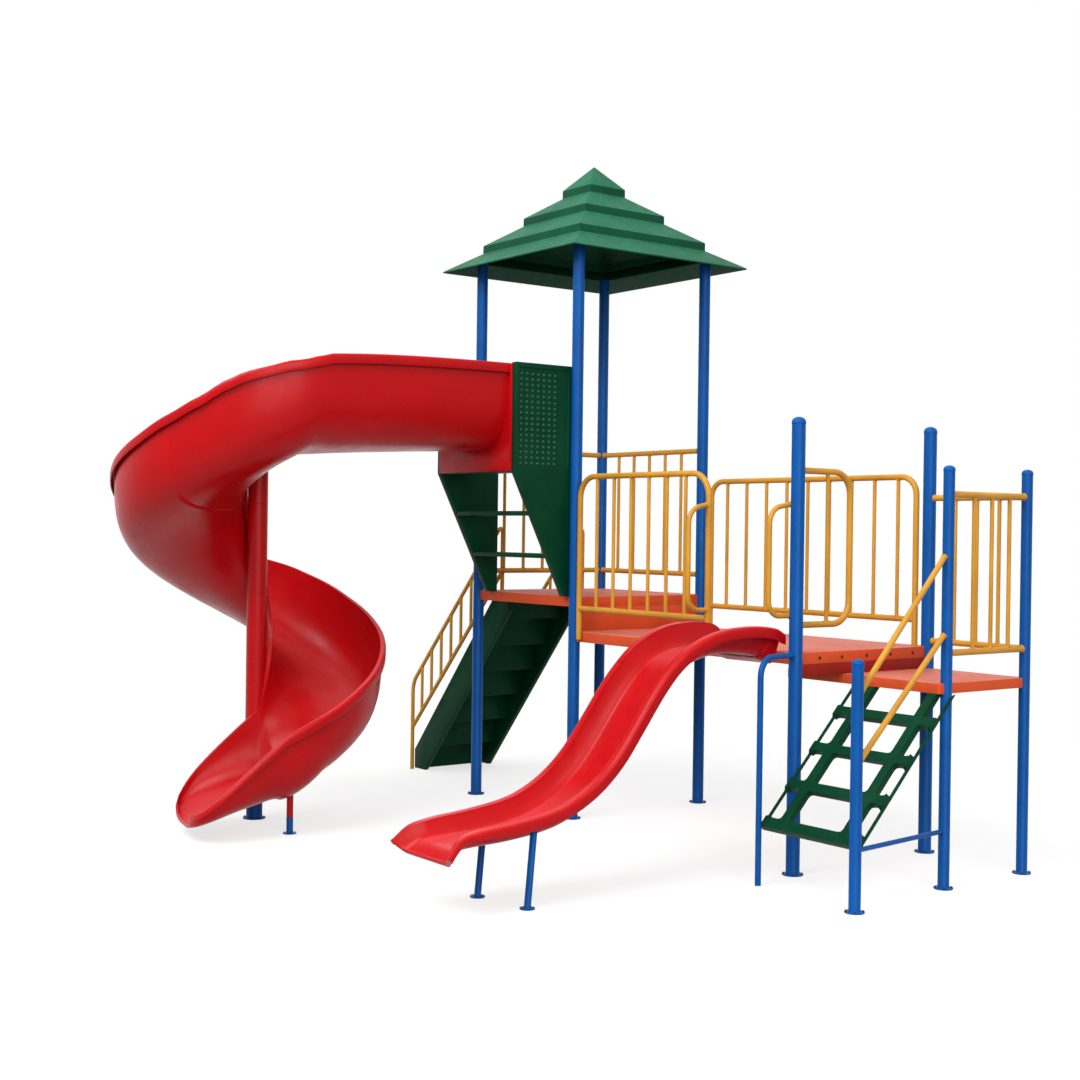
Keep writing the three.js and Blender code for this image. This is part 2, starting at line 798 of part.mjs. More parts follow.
addMesh("spiral_column", postShape(spiralX, spiralY, columnRadius, columnHeight), paint.blue);
addMesh("spiral_column_sleeve", turned([[sleeveBore, sleeveLow], [sleeveRadius, sleeveLow],
  [sleeveRadius, columnHeight], [sleeveBore, columnHeight], [sleeveBore, sleeveLow]],
  spiralX, spiralY), paint.red);
addMesh("spiral_column_cap", capShape(spiralX, spiralY, columnRadius, columnHeight), paint.blue);

const belowSeat = (solid) => solid.translate([0, 0, -seatGap]);
const exitLegBlank = cylinder(exitLegX, exitLegY, exitLegRadius, exitLegPaint + seatGap,
  exitLegHeight);
addMesh("spiral_exit_leg", lowestPart(cut(exitLegBlank, belowSeat(exitSection))), paint.red);
addMesh("spiral_exit_foot", turned([[0, 0], [exitLegRadius + plateLip, 0],
  [exitLegRadius + plateLip, plateThickness], [exitLegRadius, plateThickness],
  [exitLegRadius, exitLegPaint], [0, exitLegPaint]], exitLegX, exitLegY), paint.blue);

// Wave slide
function waveSlide() {
  const fall = waveRimHigh - waveRimLow;
  const rims = waveRunShares.map((share, i) =>
    at(0, -share * waveRun, waveRimLow + waveHeightShares[i] * fall));
  rims[0].y = -deckLip - seatGap;
  const sections = [];
  const rings = rims.map((rim, i) => {
    const before = rims[Math.max(i - 1, 0)];
    const after = rims[Math.min(i + 1, rims.length - 1)];
    const heading = i ? after.clone().sub(before).normalize() : at(0, -1, 0);
    const lift = at(0, heading.z, -heading.y);
    const share = waveRunShares[i];
    const drawn = Math.min(share / waveDrawnShare, 1);
    const body = blend(waveDepthTop, waveDepth, Math.min(share / waveSettledShare, 1));
    const depth = blend(body, waveDepthTip, share ** 6);
    const section = troughSection(waveStart + waveFarNarrowing * drawn,
      waveEnd - waveNearNarrowing * drawn, 0, depth);
    sections.push(section);
    return section.map((point) => at(point.x, rim.y, rim.z).addScaledVector(lift, point.y));
  });
  return loft(rings, [sections[0], sections.at(-1)]);
}

const waveTrough = waveSlide();
addMesh("wave_slide", waveTrough, paint.red);

function waveLeg(x, y) {
  const foot = turned([[0, 0], [waveLegRadius + plateLip, 0],
    [waveLegRadius + plateLip, plateThickness], [0, plateThickness]], x, y);
  const shank = tube([at(x, y, plateThickness / 2), at(x, y + waveLegLean, waveLegTop)],
    waveLegRadius, 12);
  return lowestPart(cut(join(foot, shank), belowSeat(waveTrough)));
}

addMesh("wave_slide_leg_left", waveLeg(waveLegLeftX, waveLegLeftY), paint.blue);
addMesh("wave_slide_leg_right", waveLeg(waveLegRightX, waveLegRightY), paint.blue);

// Rear stair: two stringers, a moulded flight between them and two handrails
const stairHeadX = leftX - deckLip - seatGap;
const stairFootX = stairHeadX - stairRun;
const stairRise = upperDeckTop / stairRises;
const stairSlope = (stairTop - stringerNose) / (stairRun - stringerHead);
const stairGoing = stairRise / stairSlope;

// An outline in X and Z, thickened along +Y from a starting place.
function sheetAlongY(outline, start, thickness) {
  return new THREE.ExtrudeGeometry(outline, { depth: thickness, bevelEnabled: false })
    .rotateX(Math.PI / 2)
    .translate(0, start + thickness, 0);
}

function stringer(start) {
  const outline = new THREE.Shape();
  outline.moveTo(stairFootX, 0);
  outline.lineTo(stairFootX + stringerFoot, 0);
  outline.lineTo(stairHeadX, (stairRun - stringerFoot) * stairSlope);
  outline.lineTo(stairHeadX, stairTop);
  outline.lineTo(stairHeadX - stringerHead, stairTop);
  outline.lineTo(stairFootX, stringerNose);
  return sheetAlongY(outline, start, stringerThickness);
}

function stairFlight() {
  const top = [];
  for (let i = 0; i < stairRises; i += 1) {
    const x = stairFootX + stairNosing + stairGoing * i;
    top.push([x, stairRise * i], [x, stairRise * (i + 1)]);
  }
  top.at(-1)[1] = stairTop;
  top.push([stairHeadX, stairTop]);
  const under = top.slice(1).map(([x, z]) => [x + stairShell, z - stairShell]);
  under.at(-1)[0] = stairHeadX;
  under.unshift([top[0][0] + stairShell, 0]);
  const outline = new THREE.Shape();
  [...top, ...under.reverse()].forEach(([x, z], i) => outline[i ? "lineTo" : "moveTo"](x, z));
  const start = stairStart + stringerThickness + seatGap;
  return sheetAlongY(outline, start, stairWidth - 2 * (stringerThickness + seatGap));
}

addMesh("stair_stringer_left", stringer(stairStart), paint.green);
addMesh("stair_stringer_right", stringer(stairStart + stairWidth - stringerThickness),
  paint.green);
addMesh("stair_flight", stairFlight(), paint.green);

function stairHandrail(y) {
  const head = stairHeadX - gripRadius;
  const foot = head - stairRailReach;
  const kneeX = head - (stairRailHead - stairRailKnee) / stairSlope;
  const frame = bent([at(foot, y, 0), at(foot, y, stairRailKnee),
    at(head, y, stairRailHead), at(head, y, stairRailHead - stairRailLeg)], stairRailCorner);
  const lift = (stairRailHead - stairRailKnee) / (head - foot);
  const topAt = (x) => stairRailKnee + (x - foot) * lift;
  const lowAt = (x) => topAt(x) - stairRailDrop;
  const lower = tube([at(foot, y, lowAt(foot)), at(head, y, lowAt(head))], gripRadius);
  const bars = [];
  const count = 8;
  for (let i = 1; i <= count; i += 1) {
    const x = blend(foot, head, i / (count + 1));
    bars.push(upright(x, y, lowAt(x), topAt(x)));
  }
  return join(tube(frame, gripRadius), lower, ...bars);
}

addMesh("stair_handrail_left", stairHandrail(stairStart - stairRailOffset - gripRadius),
  paint.yellow);
addMesh("stair_handrail_right",
  stairHandrail(stairStart + stairWidth + stairRailOffset + gripRadius), paint.yellow);

// Ladder: a sloped panel with rounded windows between its rungs, up to the lower deck's underside
const ladderLength = (ladderRungs - 1) * ladderRungPitch + ladderTopBay;
const ladderPitch = THREE.MathUtils.degToRad(ladderPitchDegrees);
const ladderHeadZ = lowerDeckLow - seatGap;
const ladderFootY = ladderHeadY - ladderLength * Math.cos(ladderPitch);
const ladderFootZ = ladderHeadZ - ladderLength * Math.sin(ladderPitch);

function roundedWindow(left, low, right, high, radius) {
  const hole = new THREE.Path();
  hole.moveTo(left + radius, low);
  hole.lineTo(right - radius, low);
  hole.quadraticCurveTo(right, low, right, low + radius);
  hole.lineTo(right, high - radius);
  hole.quadraticCurveTo(right, high, right - radius, high);
  hole.lineTo(left + radius, high);
  hole.quadraticCurveTo(left, high, left, high - radius);
  hole.lineTo(left, low + radius);
  hole.quadraticCurveTo(left, low, left + radius, low);
  return hole;
}

function ladderPanel() {
  const outline = new THREE.Shape();
  outline.moveTo(ladderStart, -ladderFootDrop);
  outline.lineTo(ladderEnd, -ladderFootDrop);
  outline.lineTo(ladderEnd, ladderLength + ladderThickness);
  outline.lineTo(ladderStart, ladderLength + ladderThickness);
  const inner = ladderStringerInset + ladderStringer;
  const columns = [
    [ladderStart + ladderRim, ladderStart + ladderStringerInset],
    [ladderStart + inner, ladderEnd - inner],
    [ladderEnd - ladderStringerInset, ladderEnd - ladderRim],
  ];
  for (let rung = 0; rung < ladderRungs - 1; rung += 1) {
    const low = rung * ladderRungPitch + ladderRungWidth / 2;
    const high = low + ladderRungPitch - ladderRungWidth;
    for (const [left, right] of columns) {
      outline.holes.push(roundedWindow(left, low, right, high, ladderWindowCorner));
    }
  }
  const sheet = new THREE.ExtrudeGeometry(outline, {
    depth: ladderThickness, bevelEnabled: false, curveSegments: 2 });
  const topLow = (ladderRungs - 1) * ladderRungPitch + ladderRungWidth / 2;
  const topBays = columns.map(([left, right]) =>
    box(at(left, topLow, -overrun),
      at(right, ladderLength + ladderThickness + overrun, ladderThickness + overrun)));
  const panel = geometryOf(cut(sheet, ...topBays));
  panel.translate(0, 0, -ladderThickness / 2);
  panel.rotateX(ladderPitch);
  panel.translate(0, ladderFootY, ladderFootZ);
  const above = box(at(ladderStart - overrun, ladderHeadY - ladderThickness, ladderHeadZ),
    at(ladderEnd + overrun, ladderHeadY + ladderThickness * 2, lowerDeckTop));
  const pipeVoid = cylinder(pipeX, pipeY, pipeRadius + seatGap, -overrun, pipeHigh);
  return clearOf(cut(panel, above, pipeVoid), "ladder_post", "landing_post_front");
}

addMesh("ladder_panel", ladderPanel(), paint.green);

function postRail(low, high, radius) {
  const from = posts.ladder_post;
  const to = posts.landing_post_front;
  return clearOf(tube([at(from.x, from.y, low), at(to.x, to.y, high)], radius),
    "ladder_post", "landing_post_front");
}

addMesh("ladder_rail_upper", postRail(ladderRailUpper, ladderRailUpperHead, gripRadius),
  paint.yellow);
addMesh("ladder_rail_lower", postRail(ladderRailLower, ladderRailLowerHead, gripRadius),
  paint.yellow);
addMesh("ladder_brace", postRail(braceHeight, braceHeight, braceRadius), paint.blue);

const pipeRoute = bent([at(pipeX, pipeY, 0), at(pipeX, pipeY, pipeHigh),
  at(entryPostX, 0, pipeHigh)], pipeBend);
const pipeShape = tube(pipeRoute, pipeRadius, postSides);
addMesh("ladder_side_pipe", clearOf(pipeShape, "entry_post_front"), paint.blue);

export default group;
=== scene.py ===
"""Playground tower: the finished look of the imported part.

Lengths are in millimetres and turned to metres where a mesh is made. The frame is the part's:
+Z up, +X along the decks, +Y to the rear, origin under the tower's front right post.
"""

import math

import bpy
import bmesh
from mathutils import Matrix, Vector


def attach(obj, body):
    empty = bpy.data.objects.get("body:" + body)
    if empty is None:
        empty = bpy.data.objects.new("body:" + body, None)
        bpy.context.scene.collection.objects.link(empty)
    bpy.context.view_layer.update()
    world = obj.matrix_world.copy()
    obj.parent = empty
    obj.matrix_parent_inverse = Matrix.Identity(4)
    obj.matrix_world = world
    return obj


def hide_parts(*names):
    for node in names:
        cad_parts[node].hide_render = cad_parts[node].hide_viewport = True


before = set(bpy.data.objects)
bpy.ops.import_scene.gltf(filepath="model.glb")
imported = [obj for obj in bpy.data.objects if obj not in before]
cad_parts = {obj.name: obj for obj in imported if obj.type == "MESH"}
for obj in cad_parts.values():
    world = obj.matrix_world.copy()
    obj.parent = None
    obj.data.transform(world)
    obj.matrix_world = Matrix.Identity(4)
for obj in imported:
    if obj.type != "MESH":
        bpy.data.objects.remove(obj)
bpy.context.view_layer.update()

METRE = 0.001

# Sizes shared with the solids
BAY = 920
POST_R, LOW_POST_R = 31.75, 25.4
TOWER_POST_TOP = 3116.9
ENTRY_X, ENTRY_TOP = 1644, 2090
LANDING_X, LANDING_Y, LANDING_TOP = 2208, 361, 1867
LADDER_X, LADDER_Y, LADDER_TOP = 2285, -300, 1045
MIDDLE_DECK, DECK_LIP = 1014, 8
RAIL_R, BAR_R, GRIP_R = 15, 9.5, 13
SPIRAL_X, SPIRAL_Y = -921, -1432
COLUMN_R, COLUMN_TOP = 43, 2150
SEAT = 0.3

# Small gaps off a post and off a face, and how far a rail's end sinks in
POST_GAP, FACE_GAP, RAIL_SINK = 0.4, 0.1, 2

# The radius of the small cap that closes a turned body on its axis
AXIS_R = 0.5


# Shapes


class Shape:
    """Collects the points and faces of one piece."""

    def __init__(self):
        self.points = []
        self.faces = []

    def add(self, points, faces):
        start = len(self.points)
        self.points += [Vector(p) for p in points]
        self.faces += [tuple(start + i for i in face) for face in faces]

    def loft(self, rings, caps=(True, True)):
        """Joins rings of equal count, each closed on itself."""
        count = len(rings[0])
        faces = []
        for i in range(len(rings) - 1):
            for k in range(count):
                a, b = i * count + k, i * count + (k + 1) % count
                faces.append((a, b, b + count, a + count))
        last = (len(rings) - 1) * count
        if caps[0]:
            faces.append(tuple(reversed(range(count))))
        if caps[1]:
            faces.append(tuple(range(last, last + count)))
        self.add([p for ring in rings for p in ring], faces)

    def tube(self, route, radius, sides=20):
        """A round bar along a route of points. A radius may be given for each point."""
        points = [Vector(p) for p in route]
        radii = radius if isinstance(radius, (list, tuple)) else [radius] * len(points)
        rings, side = [], None
        for i, point in enumerate(points):
            heading = Vector((0, 0, 0))
            if i:
                heading += (point - points[i - 1]).normalized()
            if i < len(points) - 1:
                heading += (points[i + 1] - point).normalized()
            heading.normalize()
            if side is None:
                side = heading.orthogonal()
            side = (side - heading * side.dot(heading)).normalized()
            other = heading.cross(side)
            turns = [2 * math.pi * (k + 0.5) / sides for k in range(sides)]
            rings.append(
                [point + (side * math.cos(t) + other * math.sin(t)) * radii[i] for t in turns]
            )
        self.loft(rings)

    def turned(self, profile, x, y, sides=48):
        """A turned body on a vertical axis, from (radius, height) pairs."""
        turns = [2 * math.pi * k / sides for k in range(sides)]
        self.loft([[Vector((x + r * math.cos(t), y + r * math.sin(t), z)) for t in turns]
                   for r, z in profile])

    def bead(self, centre, axis, radius, thickness=3.2, sides=16, rounds=6):
        """A weld bead round a bar where it meets another."""
        axis = Vector(axis).normalized()
        side = axis.orthogonal().normalized()
        other = axis.cross(side)
        points, faces = [], []
        for i in range(sides):
            turn = 2 * math.pi * i / sides
            out = side * math.cos(turn) + other * math.sin(turn)
            for k in range(rounds):
                t = 2 * math.pi * k / rounds
                reach = radius + thickness * math.cos(t)
                points.append(Vector(centre) + out * reach + axis * thickness * math.sin(t))
        for i in range(sides):
            for k in range(rounds):
                a = i * rounds + k
                b = i * rounds + (k + 1) % rounds
                c = ((i + 1) % sides) * rounds
                faces.append((a, c + k, c + (k + 1) % rounds, b))
        self.add(points, faces)

    def bolt(self, centre, axis, radius, height, washer, washer_height,
             edge_share=0.75, top_share=0.8):
        """A washer and a six-sided head that narrows from its edge to its top."""
        axis = Vector(axis).normalized()
        base = Vector(centre)
        head = base + axis * washer_height
        self.tube([base, head], washer, sides=18)
        self.tube([head, head + axis * height * edge_share, head + axis * height],
                  [radius, radius, radius * top_share], sides=6)

    def dome(self, centre, axis, radius, height, sides=12, rings=3, tip_share=0.12):
        """A low raised dot."""
        axis = Vector(axis).normalized()
        route, radii = [], []
        for k in range(rings + 1):
            turn = math.pi / 2 * k / rings
            route.append(Vector(centre) + axis * height * math.sin(turn))
            radii.append(max(radius * math.cos(turn), radius * tip_share))
        self.tube(route, radii, sides)


def bent(corners, reach, steps=8):
    """A route with each inner corner rounded, the rounding starting reach before it."""
    corners = [Vector(c) for c in corners]
    route = [corners[0]]
    for before, corner, after in zip(corners, corners[1:], corners[2:]):
        back = (before - corner).normalized()
        ahead = (after - corner).normalized()
        half = back.angle(ahead) / 2
        start = corner + back * reach
        middle = corner + (back + ahead).normalized() * reach / math.cos(half)
        sweep = math.pi - 2 * half
        normal = back.cross(ahead).normalized()
        for k in range(steps + 1):
            turn = Matrix.Rotation(-sweep * k / steps, 3, normal)
            route.append(middle + turn @ (start - middle))
    route.append(corners[-1])
    return route


def blend(low, high, share):
    return low + (high - low) * share


def past(value, start, end=1):
    """How far a value is on its way from start to end, and 0 before the start."""
    return max(0, (value - start) / (end - start))


def piece(name, shape, material, replaced=(), angle=35, bevel=0, segments=2):
    """Makes a mesh object of a shape, lets it ride, and hides the nodes it stands for."""
    mesh = bpy.data.meshes.new(name)
    mesh.from_pydata([p * METRE for p in shape.points], [], shape.faces)
    mesh.validate()
    finished(name, mesh, material, replaced, angle, bevel, segments)


def finished(name, mesh, material, replaced, angle, bevel, segments):
    """Makes a mesh into a piece. Edges sharper than the angle stay sharp, or are bevelled."""
    work = bmesh.new()
    work.from_mesh(mesh)
    bmesh.ops.recalc_face_normals(work, faces=work.faces)
    work.to_mesh(mesh)
    work.free()
    obj = bpy.data.objects.new(name, mesh)
    bpy.context.scene.collection.objects.link(obj)
    if bevel:
        rounding = obj.modifiers.new("edge", "BEVEL")
        rounding.width = bevel * METRE
        rounding.segments = segments
        rounding.limit_method = "ANGLE"
        rounding.angle_limit = math.radians(angle)
        bpy.context.view_layer.update()
        shown = obj.evaluated_get(bpy.context.evaluated_depsgraph_get())
        obj.data = bpy.data.meshes.new_from_object(shown)
        obj.modifiers.clear()
        mesh = obj.data
    mesh.shade_smooth()
    mesh.set_sharp_from_angle(angle=math.radians(angle))
    mesh.materials.clear()
    mesh.materials.append(material)
    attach(obj, "root")
    if replaced:
        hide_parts(*replaced)


# How near two places are, in metres, when they count as the same
SAME_POINT, SAME_PLUMB, SAME_LEVEL, SAME_SIDE = 0.00002, 0.0001, 0.0002, 0.0005
FLAT_ANGLE, BRIM_ANGLE = math.radians(1), math.radians(30)


def rounded_copy(node, material, bevel, segments=3, angle=30, brim=0, corner=0,
                 reshape=None):
    """A node's own form with its sharp edges rounded, as folded or moulded edges are.

    The brim rounds the edge round the top, and the corner the outermost upright edges. Reshape
    is a change to the form before its edges are rounded.
    """
    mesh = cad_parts[node].data.copy()
    work = bmesh.new()
    work.from_mesh(mesh)
    bmesh.ops.remove_doubles(work, verts=work.verts, dist=SAME_POINT)
    bmesh.ops.dissolve_limit(work, angle_limit=FLAT_ANGLE, verts=work.verts, edges=work.edges)
    if reshape:
        reshape(work)
    if corner:
        bmesh.ops.bevel(work, geom=outermost_edges(work), offset=corner * METRE, segments=5,
                        profile=0.5, affect="EDGES", clamp_overlap=True)
    if brim:
        bmesh.ops.bevel(work, geom=top_edges(work), offset=brim * METRE, segments=4,
                        profile=0.5, affect="EDGES", clamp_overlap=True)
    work.to_mesh(mesh)
    work.free()
    finished(f"{node}_rounded", mesh, material, (node,), angle, bevel, segments)


def outermost_edges(work):
    """The upright edges at the corners of the form's box."""
    ends = [[pick(v.co[k] for v in work.verts) for k in (0, 1)] for pick in (min, max)]
    return [e for e in work.edges
            if (e.verts[0].co - e.verts[1].co).xy.length < SAME_PLUMB
            and all(min(abs(e.verts[0].co[k] - end[k]) for end in ends) < SAME_SIDE
                    for k in (0, 1))]


def top_edges(work):
    """The edges round the form's top."""
    top = max(v.co.z for v in work.verts)
    return [e for e in work.edges
            if all(v.co.z > top - SAME_LEVEL for v in e.verts)
            and e.calc_face_angle(0) > BRIM_ANGLE]


# Materials


def node_tree(name):
    material = bpy.data.materials.new(name)
    material.use_nodes = True
    tree = material.node_tree
    tree.nodes.clear()
    output = tree.nodes.new("ShaderNodeOutputMaterial")
    shader = tree.nodes.new("ShaderNodeBsdfPrincipled")
    tree.links.new(shader.outputs["BSDF"], output.inputs["Surface"])
    return material, tree, shader


def place_in(tree):
    return tree.nodes.new("ShaderNodeTexCoord").outputs["Object"]


def height_of(tree, vector):
    split = tree.nodes.new("ShaderNodeSeparateXYZ")
    tree.links.new(vector, split.inputs[0])
    return split.outputs["Z"]


def upness(tree):
    """How far a face looks up, from -1 to 1."""
    return height_of(tree, tree.nodes.new("ShaderNodeNewGeometry").outputs["Normal"])


def noise(tree, where, scale, detail=4, roughness=0.55):
    texture = tree.nodes.new("ShaderNodeTexNoise")
    texture.inputs["Scale"].default_value = scale
    texture.inputs["Detail"].default_value = detail
    texture.inputs["Roughness"].default_value = roughness
    tree.links.new(where, texture.inputs["Vector"])
    return texture.outputs["Fac"]


def ramp(tree, value, stops):
    """A colour ramp from (place, colour) pairs."""
    shades = tree.nodes.new("ShaderNodeValToRGB")
    shades.color_ramp.elements[0].position = stops[0][0]
    shades.color_ramp.elements[0].color = (*stops[0][1], 1)
    shades.color_ramp.elements[1].position = stops[-1][0]
    shades.color_ramp.elements[1].color = (*stops[-1][1], 1)
    for place, colour in stops[1:-1]:
        shades.color_ramp.elements.new(place).color = (*colour, 1)
    tree.links.new(value, shades.inputs["Fac"])
    return shades.outputs["Color"]


def spread(tree, value, low, high, start=0.3, end=0.7):
    """Turns a value's range from start to end into one from low to high."""
    limits = tree.nodes.new("ShaderNodeMapRange")
    limits.inputs["From Min"].default_value = start
    limits.inputs["From Max"].default_value = end
    limits.inputs["To Min"].default_value = low
    limits.inputs["To Max"].default_value = high
    tree.links.new(value, limits.inputs["Value"])
    return limits.outputs["Result"]


def mix(tree, share, first, second, kind="MIX"):
    """Mixes two colours. The share, and each colour, is a value or an output of a node."""
    joined = tree.nodes.new("ShaderNodeMix")
    joined.data_type = "RGBA"
    joined.blend_type = kind
    if isinstance(share, float):
        joined.inputs["Factor"].default_value = share
    else:
        tree.links.new(share, joined.inputs["Factor"])
    for value, socket in ((first, joined.inputs[6]), (second, joined.inputs[7])):
        if isinstance(value, tuple):
            socket.default_value = (*value, 1)
        else:
            tree.links.new(value, socket)
    return joined.outputs[2]


def math_node(tree, kind, first, second):
    step = tree.nodes.new("ShaderNodeMath")
    step.operation = kind
    for value, socket in ((first, step.inputs[0]), (second, step.inputs[1])):
        if isinstance(value, (int, float)):
            socket.default_value = value
        else:
            tree.links.new(value, socket)
    return step.outputs[0]


def bump(tree, shader, height, strength, distance):
    relief = tree.nodes.new("ShaderNodeBump")
    relief.inputs["Strength"].default_value = strength
    relief.inputs["Distance"].default_value = distance
    tree.links.new(height, relief.inputs["Height"])
    tree.links.new(relief.outputs["Normal"], shader.inputs["Normal"])


def shade(colour, factor):
    return tuple(min(1, c * factor) for c in colour)


WHITE = (1, 1, 1)
PAINT_RELIEF, SHEET_RELIEF = 0.0004, 0.0015

# How bright the painted shade leaves a material, by how far its faces look up
PAINTED_SHADE_SHARES = [(0, 0.4), (0.2, 0.45), (0.5, 1), (0.74, 1), (0.84, 0.85), (1, 0.9)]


def coating(name, colour, roughness, grain=900, patch=5, relief=0.15, dust_and_highlight=0.25,
            dust_and_highlight_colour=(0.45, 0.42, 0.38), spreading=0.16, sheen=0.2, painted_shade=0, painted_highlight=None,
            metallic=0):
    """Paint or moulded plastic: uneven colour, fine grain, and faint dust, with a painted
    highlight, on what faces up.

    Sheen is the strength of the gloss. Painted shade darkens what doesn't face up, and a painted
    highlight gives a paler colour to what does.
    """
    material, tree, shader = node_tree(name)
    where = place_in(tree)
    base = ramp(tree, noise(tree, where, patch, 5, 0.6), [
        (0.3, shade(colour, 1 - spreading)), (0.5, colour), (0.7, shade(colour, 1 + spreading))])
    upward = upness(tree)
    # Dust speckled on faces that look up; as its colour is mostly a paler copy of the paint, it also
    # paints a highlight
    speckle = spread(tree, noise(tree, where, patch * 9, 6, 0.7), 0, dust_and_highlight, 0.35, 0.75)
    dust_and_highlight_share = math_node(tree, "MULTIPLY", spread(tree, upward, 0, 1, 0.35, 1), speckle)
    base = mix(tree, dust_and_highlight_share, base, dust_and_highlight_colour)
    # Painted highlight: a paler colour on the faces that look up most, as on the slides' rims
    if painted_highlight:
        base = mix(tree, spread(tree, upward, 0, 0.46, 0.76, 1), base, painted_highlight)
    # Painted shade: a darker colour on faces that stand upright or look down, and a little on flat
    # tops
    if painted_shade:
        shadow = ramp(tree, upward, [(place, shade(WHITE, share)) for place, share in PAINTED_SHADE_SHARES])
        base = mix(tree, painted_shade, base, shadow, "MULTIPLY")
    tree.links.new(base, shader.inputs["Base Color"])
    worn = noise(tree, where, patch * 5, 5, 0.65)
    tree.links.new(spread(tree, worn, roughness - 0.07, roughness + 0.1),
                   shader.inputs["Roughness"])
    bump(tree, shader, noise(tree, where, grain, 2, 0.5), relief, PAINT_RELIEF)
    shader.inputs["Specular IOR Level"].default_value = sheen
    shader.inputs["Metallic"].default_value = metallic
    return material


def perforated(name, colour, top_colour, holes_per_metre=42):
    """Coated deck sheet: a paler top, where faces look up, with rows of small holes."""
    material, tree, shader = node_tree(name)
    where = place_in(tree)
    broad = noise(tree, where, 4, 6, 0.65)
    side = ramp(tree, broad, [
        (0.3, shade(colour, 0.82)), (0.5, colour), (0.72, shade(colour, 1.15))])
    top = ramp(tree, noise(tree, where, 9, 6, 0.7), [
        (0.3, shade(top_colour, 0.85)), (0.5, top_colour), (0.7, shade(top_colour, 1.12))])
    upward = spread(tree, upness(tree), 0, 1, 0.6, 0.95)
    cells = tree.nodes.new("ShaderNodeTexVoronoi")
    cells.voronoi_dimensions = "2D"
    cells.inputs["Scale"].default_value = holes_per_metre
    cells.inputs["Randomness"].default_value = 0
    tree.links.new(where, cells.inputs["Vector"])
    hole = spread(tree, cells.outputs["Distance"], 1, 0, 0.17, 0.25)
    hole = math_node(tree, "MULTIPLY", hole, upward)
    base = mix(tree, upward, side, top)
    # The holes are painted near black: painted shade of the space under the sheet
    base = mix(tree, math_node(tree, "MULTIPLY", hole, 0.55), base, shade(colour, 0.12))
    tree.links.new(base, shader.inputs["Base Color"])
    tree.links.new(spread(tree, broad, 0.45, 0.66), shader.inputs["Roughness"])
    grain = math_node(tree, "MULTIPLY", noise(tree, where, 600, 2, 0.5), 0.15)
    bump(tree, shader, math_node(tree, "SUBTRACT", grain, hole), 0.5, SHEET_RELIEF)
    shader.inputs["Specular IOR Level"].default_value = 0.2
    return material


# Each paint's dust colour is a paler copy of the paint: dust and a painted highlight on what faces up
BLUE, BLUE_DUST_AND_HIGHLIGHT = (0.0006, 0.064, 0.26), (0.03, 0.22, 0.45)
YELLOW, YELLOW_DUST_AND_HIGHLIGHT = (0.48, 0.225, 0.018), (0.62, 0.5, 0.25)
# The red's paler rim colour is a painted highlight
RED, RED_DUST_AND_HIGHLIGHT, RED_PAINTED_HIGHLIGHT = (0.39, 0.0019, 0.0036), (0.6, 0.1, 0.1), (0.6, 0.085, 0.095)
GREEN, GREEN_DUST_AND_HIGHLIGHT = (0.0008, 0.036, 0.0145), (0.01, 0.11, 0.06)
# The dots' green is a lighter copy of the panel green: a painted highlight on the raised dots
DOT_HIGHLIGHT_GREEN, DOT_DUST_AND_HIGHLIGHT = shade(GREEN, 1.7), (0.06, 0.2, 0.13)
ROOF_GREEN, ROOF_DUST_AND_HIGHLIGHT = (0.011, 0.125, 0.06), (0.12, 0.3, 0.2)
# The riser red is a darker copy of the deck's orange: painted shade for the riser under the middle
# deck
ORANGE, DECK_TOP, SHADED_RISER_RED = (0.56, 0.07, 0.016), (0.6, 0.16, 0.11), (0.24, 0.012, 0.007)
DARK_STEEL = (0.035, 0.02, 0.018)

blue_paint = coating("blue_powder_coat", BLUE, 0.34, grain=700, patch=3, relief=0.1, dust_and_highlight=0.1,
                     dust_and_highlight_colour=BLUE_DUST_AND_HIGHLIGHT, sheen=0.12)
cap_plastic = coating("blue_cap_plastic", shade(BLUE, 1.06), 0.42, grain=500, patch=6, dust_and_highlight=0.12,
                      dust_and_highlight_colour=BLUE_DUST_AND_HIGHLIGHT, sheen=0.12)
yellow_paint = coating("yellow_powder_coat", YELLOW, 0.38, grain=700, patch=4, relief=0.1,
                       dust_and_highlight=0.15, dust_and_highlight_colour=YELLOW_DUST_AND_HIGHLIGHT, sheen=0.22)
red_plastic = coating("red_moulded_plastic", RED, 0.3, grain=150, patch=2, relief=0.04, dust_and_highlight=0.1,
                      dust_and_highlight_colour=RED_DUST_AND_HIGHLIGHT, spreading=0.1, sheen=0.16, painted_highlight=RED_PAINTED_HIGHLIGHT)
green_plastic = coating("green_moulded_plastic", GREEN, 0.42, grain=300, patch=4, relief=0.12,
                        dust_and_highlight=0.12, dust_and_highlight_colour=GREEN_DUST_AND_HIGHLIGHT, spreading=0.25, sheen=0.07)
highlighted_dot_plastic = coating("panel_dot_highlighted_plastic", DOT_HIGHLIGHT_GREEN, 0.36, grain=500, patch=9, relief=0.1,
                      dust_and_highlight=0.2, dust_and_highlight_colour=DOT_DUST_AND_HIGHLIGHT, sheen=0.28)
roof_plastic = coating("roof_moulded_plastic", ROOF_GREEN, 0.5, grain=300, patch=4, dust_and_highlight=0.3,
                       # The roof carries painted shade on its upright faces and undersides
                       dust_and_highlight_colour=ROOF_DUST_AND_HIGHLIGHT, spreading=0.18, sheen=0.06, painted_shade=0.9)
green_paint = coating("green_frame_paint", shade(GREEN, 0.9), 0.8, grain=700, patch=4, dust_and_highlight=0.05,
                      sheen=0)
deck_coat = perforated("deck_coating", ORANGE, DECK_TOP)
